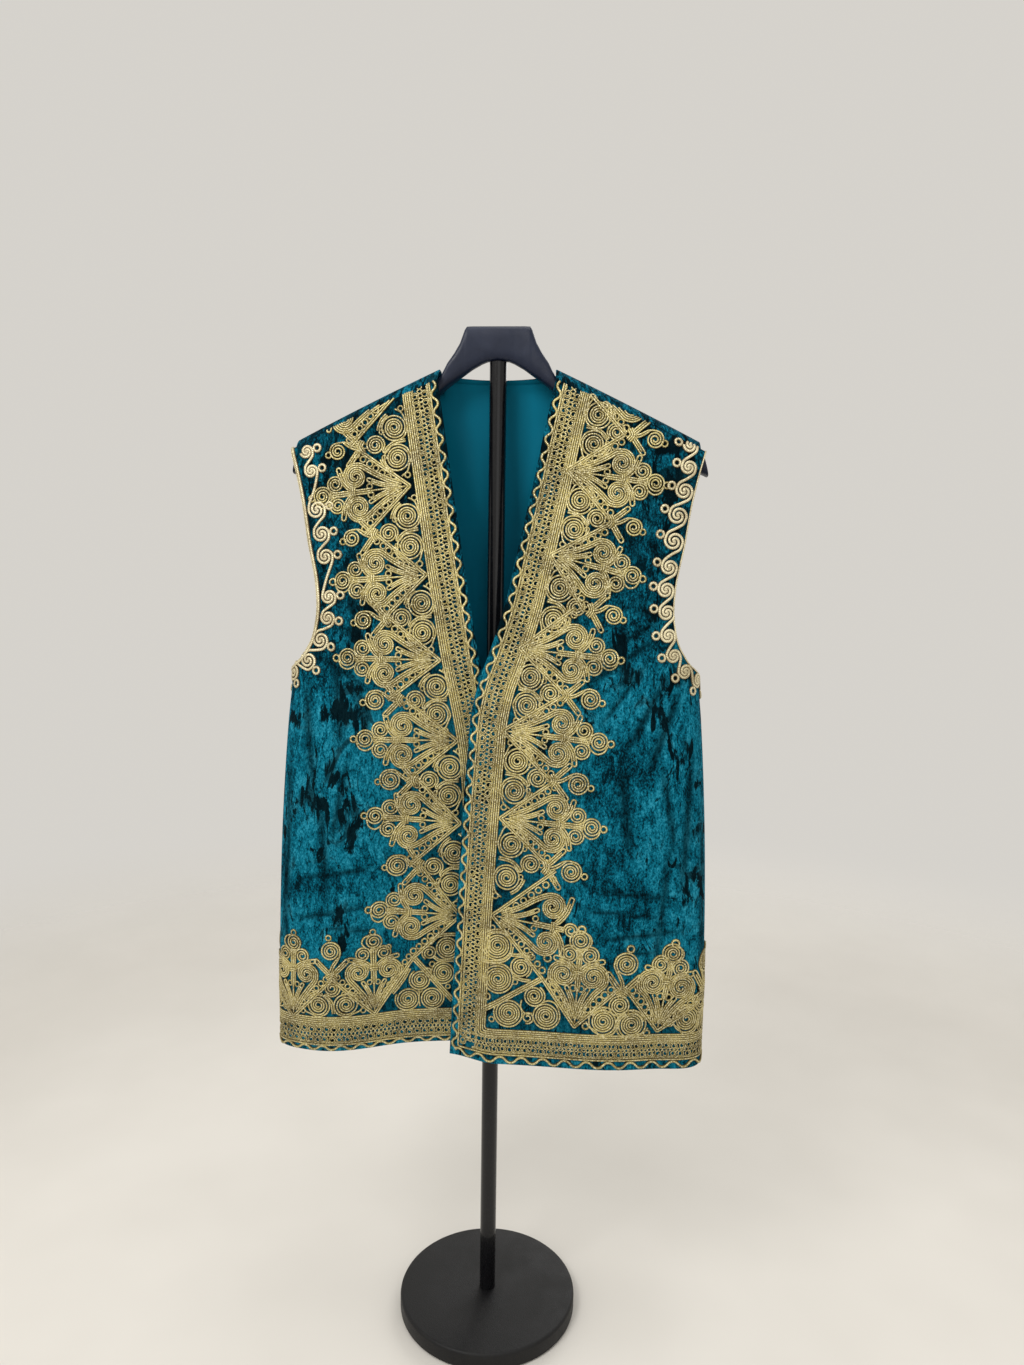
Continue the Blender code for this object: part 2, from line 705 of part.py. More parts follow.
def make_vest(velvet, satin, gold):
    left, right = front_panel("left"), front_panel("right")
    back, columns = back_panel()
    wall("front_left", left, 0, CLOTH, velvet)
    wall("front_right", right, 0, CLOTH, velvet)

    top_row = len(back.flat) - 1

    def over_shoulder(row, column):
        outside = min(abs(columns[column]), abs(columns[column + 1])) > BACK_NECK_COLUMN - 1e-6
        return row < top_row + 1 or outside

    wall("back", back, 0, CLOTH, velvet, over_shoulder)
    lining = Panel("back", [row for i, row in enumerate(back.flat) if i not in LINING_SKIPS])
    wall("back_lining", lining, -CLOTH - LINING_GAP, LINING, satin)

    for panel in (left, right):
        braid_field(f"front_braid_{panel.name}", panel, gold)
        armhole_braid(panel, 1, f"armhole_braid_front_{panel.name}", gold)
    braid_field("hem_braid_back", back, gold)
    armhole_braid(back, 1, "armhole_braid_back_left", gold)
    armhole_braid(back, -1, "armhole_braid_back_right", gold)


def make_foot(finish):
    bm = bmesh.new()
    bmesh.ops.create_cone(
        bm, cap_ends=True, segments=48, radius1=FOOT_RADIUS, radius2=FOOT_RADIUS, depth=FOOT_HEIGHT
    )
    foot = new_object("stand_foot", bm, finish)
    foot.location.z = FOOT_HEIGHT / 2
    edge = foot.modifiers.new("Edge", "BEVEL")
    edge.width, edge.segments = FOOT_EDGE, 1
    edge.limit_method = "ANGLE"


def make_pole(finish):
    bottom = FOOT_HEIGHT + GAP
    bm = bmesh.new()
    bmesh.ops.create_cone(
        bm,
        cap_ends=True,
        segments=24,
        radius1=POLE_RADIUS,
        radius2=POLE_RADIUS,
        depth=POLE_TOP - bottom,
    )
    pole = new_object("stand_pole", bm, finish)
    pole.location.z = (POLE_TOP + bottom) / 2


def make_hanger(finish):
    """The flat yoke and arms: rounded sections lofted from tip to tip."""
    bm = bmesh.new()
    rings = []
    for rib in [r._replace(x=-r.x) for r in RIBS[:0:-1]] + RIBS:
        middle, half = (rib.top + rib.bottom) / 2, (rib.top - rib.bottom) / 2
        ring = []
        for k in range(RIB_CORNERS):
            angle = 2 * math.pi * (k + 0.5) / RIB_CORNERS
            c, s = math.cos(angle), math.sin(angle)
            radius = (abs(c) ** RIB_POWER + abs(s) ** RIB_POWER) ** (-1 / RIB_POWER)
            ring.append(bm.verts.new((rib.x, rib.half_depth * radius * c, middle + half * radius * s)))
        rings.append(ring)
    for first, second in zip(rings, rings[1:]):
        for k in range(RIB_CORNERS):
            n = (k + 1) % RIB_CORNERS
            bm.faces.new((first[k], first[n], second[n], second[k]))
    bm.faces.new(rings[0])
    bm.faces.new(rings[-1][::-1])
    bmesh.ops.recalc_face_normals(bm, faces=bm.faces)
    new_object("hanger", bm, finish)


for old in list(bpy.data.objects):
    bpy.data.objects.remove(old)
PARTS = bpy.data.collections.new("folk_vest_on_stand")
bpy.context.scene.collection.children.link(PARTS)

BLACK_STEEL = material("black_powder_coat", (0.012, 0.012, 0.013), 0.45, 0.0)
BLACK_PLASTIC = material("black_plastic", (0.030, 0.032, 0.038), 0.42)
make_foot(BLACK_STEEL)
make_pole(BLACK_STEEL)
make_hanger(BLACK_PLASTIC)
make_vest(
    material("teal_velvet", (0.004, 0.120, 0.170), 0.75),
    material("teal_lining", (0.002, 0.130, 0.160), 0.60),
    material("gold_braid", (0.520, 0.400, 0.170), 0.45, 0.3),
)
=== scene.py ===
"""Looks of an embroidered folk vest on its hanger stand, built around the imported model.

Metres, +Z up. The vest faces -Y, and left and right are the wearer's, so the left front is at +X.
A cloth panel is drawn flat, as (around, height), and bent into its worn shape by the same tables
as the solids. Braid work is drawn on the flat panels too, so it follows the cloth.
"""

import math

import bpy
import numpy as np
from mathutils import Matrix, Vector


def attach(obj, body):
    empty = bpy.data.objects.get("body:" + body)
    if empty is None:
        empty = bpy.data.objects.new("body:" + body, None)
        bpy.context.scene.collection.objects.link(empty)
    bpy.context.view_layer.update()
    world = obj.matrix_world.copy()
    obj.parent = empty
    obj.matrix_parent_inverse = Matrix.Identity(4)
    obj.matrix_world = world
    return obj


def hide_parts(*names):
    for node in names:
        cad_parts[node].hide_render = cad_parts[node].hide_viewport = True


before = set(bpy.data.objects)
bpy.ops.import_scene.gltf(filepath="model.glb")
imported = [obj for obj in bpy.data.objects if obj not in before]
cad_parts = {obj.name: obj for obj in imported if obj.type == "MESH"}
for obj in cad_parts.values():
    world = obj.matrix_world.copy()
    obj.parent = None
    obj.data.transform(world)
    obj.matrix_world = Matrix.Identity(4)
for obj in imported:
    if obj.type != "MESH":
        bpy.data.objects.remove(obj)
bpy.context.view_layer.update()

# --- Studio ----------------------------------------------------------------------------------
# A wide pale floor, a camera at chest height just left of the middle of the stand, and large soft
# lights from the front, the left and above.

FLOOR_RADIUS = 2.6
FLOOR_THICKNESS = 0.02
FLOOR_FADE = (0.55, 2.3)
EYE_DISTANCE = 1.02
EYE_HEIGHT = 0.831
EYE_AZIMUTH = math.radians(4.5)
LOOK_DOWN = math.radians(6.0)
LOOK_ASIDE = math.radians(1.06)
TILT = math.radians(0.8)
SENSOR = 36.0
# The focal length and the frame's height, both in pixels of the frame.
FOCAL_LENGTH = 946.0
FRAME_HEIGHT = 1365.0
PALE = (0.72, 0.695, 0.65, 1)
PALE_STRENGTH = 0.93
# Each soft square light: its name, place, aim, side, power and colour.
LIGHTS = [
    ("key_light", (-0.85, -1.25, 2.05), (0, 0, 0.85), 0.8, 19, (1.0, 0.985, 0.96)),
    ("front_light", (0.6, -2.6, 1.5), (0, 0, 0.7), 1.6, 5, (1, 1, 1)),
    ("top_light", (0.2, -0.2, 2.9), (0, 0, 0.6), 1.2, 14, (1, 1, 1)),
    ("back_light", (0.9, 2.4, 2.0), (0, 0, 0.7), 1.8, 20, (1, 1, 1)),
]

eye = Vector((EYE_DISTANCE * math.sin(EYE_AZIMUTH), -EYE_DISTANCE * math.cos(EYE_AZIMUTH), EYE_HEIGHT))
ahead = Vector((-math.sin(EYE_AZIMUTH), math.cos(EYE_AZIMUTH), 0))
ahead.rotate(Matrix.Rotation(-LOOK_ASIDE, 3, "Z"))
aside = ahead.cross(Vector((0, 0, 1))).normalized()
look = ahead * math.cos(LOOK_DOWN) - Vector((0, 0, math.sin(LOOK_DOWN)))
up = aside.cross(look)
right_hand = aside * math.cos(TILT) + up * math.sin(TILT)
upright = up * math.cos(TILT) - aside * math.sin(TILT)
camera = bpy.data.objects.new("camera", bpy.data.cameras.new("camera"))
camera.matrix_world = Matrix.Translation(eye) @ Matrix((right_hand, upright, -look)).transposed().to_4x4()
camera.data.sensor_fit = "VERTICAL"
camera.data.sensor_height = SENSOR
camera.data.lens = FOCAL_LENGTH * SENSOR / FRAME_HEIGHT
bpy.context.scene.collection.objects.link(camera)
bpy.context.scene.camera = camera

world = bpy.data.worlds.new("studio")
world.use_nodes = True
background = world.node_tree.nodes["Background"]
background.inputs["Color"].default_value = PALE
background.inputs["Strength"].default_value = PALE_STRENGTH
bpy.context.scene.world = world
bpy.context.scene.view_settings.view_transform = "Standard"

for name, place, aim, side, power, colour in LIGHTS:
    light = bpy.data.lights.new(name, "AREA")
    light.size = side
    light.energy = power
    light.color = colour
    lamp = bpy.data.objects.new(name, light)
    lamp.location = place
    lamp.rotation_euler = (Vector(aim) - Vector(place)).to_track_quat("-Z", "Y").to_euler()
    bpy.context.scene.collection.objects.link(lamp)


def lathe(name, profile, turns):
    """A closed body of revolution about the Z axis, from (radius, height) pairs, bottom to top."""
    verts, faces, rings = [], [], []
    for radius, height in profile:
        if radius == 0:
            rings.append([len(verts)] * turns)
            verts.append((0, 0, height))
            continue
        rings.append(list(range(len(verts), len(verts) + turns)))
        angles = [2 * math.pi * k / turns for k in range(turns)]
        verts += [(radius * math.cos(a), radius * math.sin(a), height) for a in angles]
    for low, high in zip(rings, rings[1:]):
        for k in range(turns):
            n = (k + 1) % turns
            faces.append(list(dict.fromkeys((low[k], low[n], high[n], high[k]))))
    mesh = bpy.data.meshes.new(name)
    mesh.from_pydata(verts, [], faces)
    return mesh


class Value:
    """One output of a material's nodes. Arithmetic on it adds the Math nodes."""

    def __init__(self, finish, socket):
        self.finish = finish
        self.socket = socket

    def __add__(self, other):
        return self.finish.maths("ADD", self, other)

    def __sub__(self, other):
        return self.finish.maths("SUBTRACT", self, other)

    def __rsub__(self, other):
        return self.finish.maths("SUBTRACT", other, self)

    def __mul__(self, other):
        return self.finish.maths("MULTIPLY", self, other)

    __radd__ = __add__
    __rmul__ = __mul__


class Finish:
    """A material in the making. Plain numbers go straight on the shader's own sockets."""

    def __init__(self, name, **plain):
        self.material = bpy.data.materials.new(name)
        self.material.use_nodes = True
        self.tree = self.material.node_tree
        self.shader = self.tree.nodes["Principled BSDF"]
        for socket, value in plain.items():
            self.shader.inputs[socket.replace("_", " ")].default_value = value

    def node(self, kind, settings=None, sockets=None, output=0):
        """A node with its settings, then the values or links of its sockets. Returns one output."""
        made = self.tree.nodes.new(kind)
        for name, value in (settings or {}).items():
            if name == "stops":
                ramp = made.color_ramp
                while len(ramp.elements) < len(value):
                    ramp.elements.new(0.5)
                for element, (place, colour) in zip(ramp.elements, value):
                    element.position = place
                    element.color = (*colour, 1)
            else:
                setattr(made, name, value)
        for key, value in (sockets or {}).items():
            if isinstance(value, Value):
                self.tree.links.new(value.socket, made.inputs[key])
            else:
                made.inputs[key].default_value = value
        return Value(self, made.outputs[output])

    def maths(self, operation, *values):
        """What a Math node makes of some values or plain numbers."""
        return self.node("ShaderNodeMath", {"operation": operation}, dict(enumerate(values)))

    def place(self, output, stretch=(1, 1, 1)):
        """The piece's Object coordinates or UV map, in metres, stretched."""
        source = self.node("ShaderNodeTexCoord", output=output)
        return self.node("ShaderNodeMapping", None, {"Vector": source, "Scale": stretch})

    def axis(self, place, number):
        """One coordinate of a place: 0 for X, 1 for Y and 2 for Z."""
        return self.node("ShaderNodeSeparateXYZ", None, {0: place}, number)

    def noise(self, where, scale, detail=2.0, roughness=0.5, distortion=0.0):
        """Noise at a place, from 0 to 1."""
        sockets = {
            "Vector": where,
            "Scale": scale,
            "Detail": detail,
            "Roughness": roughness,
            "Distortion": distortion,
        }
        return self.node("ShaderNodeTexNoise", None, sockets)

    def ramp(self, value, *stops):
        """A colour from a value, by stops of (value, colour)."""
        return self.node("ShaderNodeValToRGB", {"stops": stops}, {"Fac": value})

    def between(self, value, low, high):
        """0 below low, 1 above high, smooth in between."""
        settings = {"interpolation_type": "SMOOTHSTEP"}
        sockets = {"Value": value, "From Min": low, "From Max": high}
        return self.node("ShaderNodeMapRange", settings, sockets)

    def mix(self, share, first, second):
        """The first colour where share is 0, the second where it is 1."""
        colours = [c if isinstance(c, Value) else (*c, 1) for c in (first, second)]
        return self.node("ShaderNodeMix", {"data_type": "RGBA"}, {0: share, 6: colours[0], 7: colours[1]}, 2)

    def bump(self, height, distance, strength=1.0):
        """Fine relief: a height from 0 to 1 stands for a distance in metres."""
        sockets = {"Height": height, "Distance": distance, "Strength": strength}
        self.feed("Normal", self.node("ShaderNodeBump", None, sockets))

    def feed(self, socket, value):
        """Links a value to one of the shader's own sockets."""
        self.tree.links.new(value.socket, self.shader.inputs[socket])


floor_finish = Finish("studio_floor", Roughness=0.9)
floor_place = floor_finish.place("Object")
dust = floor_finish.noise(floor_place, 6.0)
floor_colour = floor_finish.ramp(dust, (0.3, (0.70, 0.675, 0.63)), (0.7, (0.73, 0.705, 0.66)))
from_middle = floor_finish.node("ShaderNodeVectorMath", {"operation": "LENGTH"}, {0: floor_place}, 1)
floor_finish.feed("Base Color", floor_colour)
floor_finish.feed("Alpha", 1 - floor_finish.between(from_middle, *FLOOR_FADE))
floor_profile = [
    (0, -FLOOR_THICKNESS),
    (FLOOR_RADIUS, -FLOOR_THICKNESS),
    (FLOOR_RADIUS, 0.0),
    (0, 0.0),
]
floor_mesh = lathe("floor", floor_profile, 96)
floor_mesh.materials.append(floor_finish.material)
floor = bpy.data.objects.new("floor", floor_mesh)
bpy.context.scene.collection.objects.link(floor)

# --- Foot ------------------------------------------------------------------------------------
# A heavy cast iron disc with a softly rounded rim, powder coated in a fine black grain. The pole
# stands in the middle of it.

FOOT_RADIUS = 0.100
FOOT_HEIGHT = 0.020
FOOT_ROUNDING = 0.0035
# The top falls this much from the pole to the rim. It has a bend at a share of the radius, where it
# has fallen a share of the whole.
FOOT_CROWN = 0.0006
FOOT_BEND_PLACE = 0.6
FOOT_BEND_FALL = 0.4
FOOT_LEVEL = 0.012
RIM_STEPS = 5


def new_piece(name, mesh, *finishes, crease=math.radians(35)):
    """A finished piece at the origin, smooth but for edges sharper than crease, riding on the body."""
    for finish in finishes:
        mesh.materials.append(finish)
    mesh.polygons.foreach_set("use_smooth", np.ones(len(mesh.polygons), bool))
    mesh.set_sharp_from_angle(angle=crease)
    made = bpy.data.objects.new(name, mesh)
    bpy.context.scene.collection.objects.link(made)
    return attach(made, "root")


foot_finish = Finish("black_powder_coat", Specular_IOR_Level=0.3)
foot_place = foot_finish.place("Object")
foot_grain = foot_finish.noise(foot_place, 900.0, 3.0, 0.6)
foot_wear = foot_finish.noise(foot_place, 26.0, 4.0, 0.6, 0.4)
foot_colour = foot_finish.ramp(foot_wear, (0.35, (0.003, 0.003, 0.004)), (0.75, (0.010, 0.010, 0.010)))
foot_finish.feed("Base Color", foot_colour)
foot_finish.feed("Roughness", foot_finish.between(foot_wear, 0.2, 0.8) * 0.22 + 0.40)
foot_finish.bump(foot_grain, 0.0004, 0.7)

foot_profile = [(0, 0), (FOOT_RADIUS - FOOT_ROUNDING, 0)]
rim = [math.pi / 2 * k / RIM_STEPS for k in range(RIM_STEPS + 1)]
for a in rim[1:]:
    foot_profile.append((FOOT_RADIUS - FOOT_ROUNDING * (1 - math.sin(a)), FOOT_ROUNDING * (1 - math.cos(a))))
for a in rim:
    height = FOOT_HEIGHT - FOOT_ROUNDING * (1 - math.sin(a)) - FOOT_CROWN
    foot_profile.append((FOOT_RADIUS - FOOT_ROUNDING * (1 - math.cos(a)), height))
foot_profile += [
    (FOOT_RADIUS * FOOT_BEND_PLACE, FOOT_HEIGHT - FOOT_CROWN * FOOT_BEND_FALL),
    (FOOT_LEVEL, FOOT_HEIGHT),
    (0, FOOT_HEIGHT),
]
foot = new_piece("foot_disc", lathe("foot_disc", foot_profile, 128), foot_finish.material)
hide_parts("stand_foot")

# --- Pole ------------------------------------------------------------------------------------
# A straight steel tube with a black gloss paint, screwed into the foot. The hanger sits on its
# top end.

POLE_RADIUS = 0.009
POLE_BOTTOM = 0.0203
POLE_TOP = 1.0606
POLE_ROUNDING = 0.0008
POLE_LENGTHS = 8

pole_finish = Finish("black_gloss_paint", Coat_Roughness=0.05, Specular_IOR_Level=0.2)
pole_place = pole_finish.place("Object", (1, 1, 0.25))
pole_skin = pole_finish.noise(pole_place, 160.0, 2.0)
pole_scuffs = pole_finish.noise(pole_place, 520.0, 4.0, 0.7, 1.2)
pole_colour = pole_finish.ramp(pole_scuffs, (0.3, (0.002, 0.002, 0.003)), (0.85, (0.008, 0.008, 0.009)))
pole_finish.feed("Base Color", pole_colour)
pole_finish.feed("Roughness", pole_finish.between(pole_scuffs, 0.45, 0.9) * 0.25 + 0.22)
pole_finish.feed("Coat Weight", 0.34 - pole_finish.between(pole_scuffs, 0.5, 0.9) * 0.2)
pole_finish.bump(pole_skin, 0.0003, 0.25)

pole_profile = [(0, POLE_BOTTOM), (POLE_RADIUS, POLE_BOTTOM)]
for k in range(1, POLE_LENGTHS):
    pole_profile.append((POLE_RADIUS, POLE_BOTTOM + (POLE_TOP - POLE_BOTTOM) * k / POLE_LENGTHS))
pole_profile += [
    (POLE_RADIUS, POLE_TOP - POLE_ROUNDING),
    (POLE_RADIUS - POLE_ROUNDING, POLE_TOP),
    (0, POLE_TOP),
]
pole = new_piece("pole_tube", lathe("pole_tube", pole_profile, 48), pole_finish.material)
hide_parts("stand_pole")

# --- Hanger ----------------------------------------------------------------------------------
# A moulded plastic hanger in charcoal with a satin skin: a flat upright yoke at the neck and two
# broad sloping arms with rounded edges, which carry the shoulders of the vest.

# Distance from the middle, top, bottom and half depth, from the middle to the tip.
RIBS = [
    (0.0000, 1.0965, 1.0612, 0.0080),
    (0.0110, 1.0965, 1.0610, 0.0080),
    (0.0170, 1.0965, 1.0586, 0.0080),
    (0.0270, 1.0965, 1.0530, 0.0085),
    (0.0330, 1.0962, 1.0488, 0.0090),
    (0.0352, 1.0930, 1.0472, 0.0090),
    (0.0400, 1.0795, 1.0440, 0.0095),
    (0.0460, 1.0690, 1.0398, 0.0100),
    (0.0530, 1.0590, 1.0345, 0.0110),
    (0.0600, 1.0450, 1.0285, 0.0110),
    (0.1000, 1.0260, 1.0050, 0.0130),
    (0.1500, 1.0010, 0.9780, 0.0135),
    (0.2000, 0.9765, 0.9530, 0.0135),
    (0.2200, 0.9655, 0.9440, 0.0130),
]
RIB_CORNERS = 40
RIB_POWER = 3.4
RIB_STEPS = 6
TIP_ROUNDING = 0.0012
TIP_STEPS = 7
TIP_LEAST = 0.05
# The ends of the arms are cut aslant: how far they lean out below, from where on, and how much
# shorter each arm is there.
TIP_LEAN = 0.27
TIP_FROM = 0.196
TIP_SHORTER = {1: 0.0026, -1: 0.0056}

hanger_finish = Finish("charcoal_plastic", Specular_IOR_Level=0.3)
hanger_place = hanger_finish.place("Object")
hanger_grain = hanger_finish.noise(hanger_place, 1300.0, 2.0)
hanger_cloud = hanger_finish.noise(hanger_place, 38.0, 3.0, 0.6, 0.5)
hanger_stops = ((0.3, (0.006, 0.010, 0.026)), (0.75, (0.014, 0.020, 0.043)))
hanger_finish.feed("Base Color", hanger_finish.ramp(hanger_cloud, *hanger_stops))
hanger_finish.feed("Roughness", hanger_finish.between(hanger_cloud, 0.3, 0.7) * 0.10 + 0.36)
hanger_finish.bump(hanger_grain, 0.0002, 0.35)

places = np.array([rib[0] for rib in RIBS])
spread = np.unique(np.concatenate([np.linspace(a, b, RIB_STEPS) for a, b in zip(places, places[1:])]))
tip = places[-1] + TIP_ROUNDING * np.sin(np.linspace(0, math.pi / 2, TIP_STEPS)[1:])
tip_shrink = np.sqrt(np.maximum(1 - ((tip - places[-1]) / TIP_ROUNDING) ** 2, 0))
shrink = np.maximum(np.concatenate([np.ones(len(spread)), tip_shrink]), TIP_LEAST)
stations = np.concatenate([spread, tip])
tops, bottoms, depths = (np.interp(stations, places, [rib[k] for rib in RIBS]) for k in (1, 2, 3))
lowering = (stations - places[-1]).clip(0) * (RIBS[-1][1] - RIBS[-2][1]) / (RIBS[-1][0] - RIBS[-2][0])
angles = 2 * math.pi * (np.arange(RIB_CORNERS) + 0.5) / RIB_CORNERS
radii = (np.abs(np.cos(angles)) ** RIB_POWER + np.abs(np.sin(angles)) ** RIB_POWER) ** (-1 / RIB_POWER)
verts, rings = [], []
for side in (-1, 1):
    order = range(len(stations) - 1, 0, -1) if side < 0 else range(len(stations))
    for k in order:
        rings.append(list(range(len(verts), len(verts) + RIB_CORNERS)))
        middle = (tops[k] + bottoms[k]) / 2 + lowering[k]
        half = (tops[k] - bottoms[k]) / 2 * shrink[k]
        depth = depths[k] * shrink[k]
        share = min(max((stations[k] - TIP_FROM) / (places[-1] - TIP_FROM), 0), 1)
        for a, r in zip(angles, radii):
            up = half * r * math.sin(a)
            out = stations[k] - share * (TIP_SHORTER[side] + TIP_LEAN * up)
            verts.append((side * out, depth * r * math.cos(a), middle + up))
faces = [
    (first[k], first[(k + 1) % RIB_CORNERS], second[(k + 1) % RIB_CORNERS], second[k])
    for first, second in zip(rings, rings[1:])
    for k in range(RIB_CORNERS)
]
faces += [rings[0][::-1], rings[-1]]
hanger_mesh = bpy.data.meshes.new("hanger_arms")
hanger_mesh.from_pydata(verts, [], faces)
hanger = new_piece("hanger_arms", hanger_mesh, hanger_finish.material)
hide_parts("hanger")

# --- Velvet fronts ---------------------------------------------------------------------------
# Two fronts of crushed teal velvet, each faced inside with teal satin, turned in at the opening,
# hem and armhole and sewn to the back at the side and shoulder. They hang open at the neck, and
# the left one laps over the right one below the chest.

HEM_Z = 0.328
UNDERARM_Z = 0.735
NECK_X = 0.0605
NECK_TOP_Z = 1.053
TIP_X = 0.2195
TIP_TOP_Z = 0.975
SHOULDER_CROWN = 0.004
ROLL_RADIUS = 0.022
SEAM_DROP_NECK = 0.015
SEAM_DROP_TIP = 0.009
SEAM_GAP = 0.0006
SEAM_SHADOW = 0.0024
TIP_ROW_Z = 0.966
CLOTH = 0.002
EDGE_ROUNDING = 0.0006
TUCK_FROM, TUCK_TO = 0.190, 0.020
TURN_FROM, TURN_TO = 0.012, -0.043
BEND_FROM = 0.105
# Above this height a front's grid rows run evenly up to its shoulder seam.
RISE_FROM_Z = {"left": 0.946, "right": 0.929}
# Height, half width, depth of the left front, of the right front and of the back, squareness of
# the rounded outline, how far the right front's edge tucks under, and the left one's turns in.
# The columns are named below.
SECTIONS = [
    (0.328, 0.2290, 0.0725, 0.0610, 0.0500, 7.0, 0.036, 0.018),
    (0.450, 0.2300, 0.0715, 0.0610, 0.0540, 6.0, 0.033, 0.016),
    (0.580, 0.2270, 0.0680, 0.0600, 0.0560, 5.0, 0.025, 0.010),
    (0.690, 0.2205, 0.0625, 0.0575, 0.0520, 4.2, 0.013, 0.003),
    (0.735, 0.2170, 0.0590, 0.0550, 0.0490, 3.7, 0.006, 0.000),
    (0.800, 0.2230, 0.0530, 0.0500, 0.0440, 3.2, 0.000, 0.000),
    (0.880, 0.2340, 0.0430, 0.0420, 0.0370, 3.0, 0.000, 0.000),
    (0.970, 0.2460, 0.0320, 0.0320, 0.0290, 3.0, 0.000, 0.000),
    (1.055, 0.2520, 0.0250, 0.0250, 0.0240, 3.0, 0.000, 0.000),
]
HALF = 1
DEPTH = {"left": 2, "right": 3, "back": 4}
SQUARENESS = 5
TUCK = 6
TURN = 7
# Height, and how far the left and the right front's opening edge stands from the centre line.
OPENING = [
    (1.038, 0.0610, 0.0605),
    (0.985, 0.0500, 0.0520),
    (0.936, 0.0405, 0.0440),
    (0.900, 0.0330, 0.0380),
    (0.855, 0.0235, 0.0305),
    (0.811, 0.0140, 0.0225),
    (0.764, 0.0000, 0.0145),
    (0.731, -0.0115, 0.0080),
    (0.700, -0.0185, 0.0020),
    (0.655, -0.0225, -0.0050),
    (0.600, -0.0265, -0.0090),
    (0.500, -0.0320, -0.0105),
    (0.328, -0.0395, -0.0105),
]
OPENING_EDGE = {"left": 1, "right": 2}
# Height, and how far the armhole's edge lies in from the side line, along the cloth.
ARMHOLE = [
    (0.735, 0.000),
    (0.738, 0.016),
    (0.746, 0.034),
    (0.762, 0.049),
    (0.790, 0.059),
    (0.825, 0.060),
    (0.870, 0.054),
    (0.920, 0.049),
    (0.950, 0.044),
    (0.968, 0.040),
]
# Rows of the weave's grid bend to follow the armhole: height at the opening, and at the side.
BENDS = [
    (0.660, 0.660),
    (0.685, 0.695),
    (0.708, 0.722),
    (0.726, 0.7350),
    (0.745, 0.7405),
    (0.768, 0.750),
    (0.795, 0.767),
    (0.813, 0.790),
    (0.828, 0.816),
    (0.858, 0.851),
    (0.900, 0.900),
]
# Soft hanging folds: centre line, width, depth, and the height above which they fade out.
FOLDS = {
    "left": [(0.115, 0.050, -0.0040, 0.70), (0.185, 0.026, 0.0050, 0.72)],
    "right": [(0.175, 0.040, -0.0035, 0.66), (0.095, 0.036, 0.0040, 0.64)],
    "back": [
        (-0.150, 0.040, -0.0050, 0.74),
        (-0.080, 0.036, 0.0060, 0.70),
        (0.010, 0.046, -0.0050, 0.76),
        (0.095, 0.038, 0.0060, 0.72),
        (0.165, 0.034, -0.0040, 0.68),
    ],
}
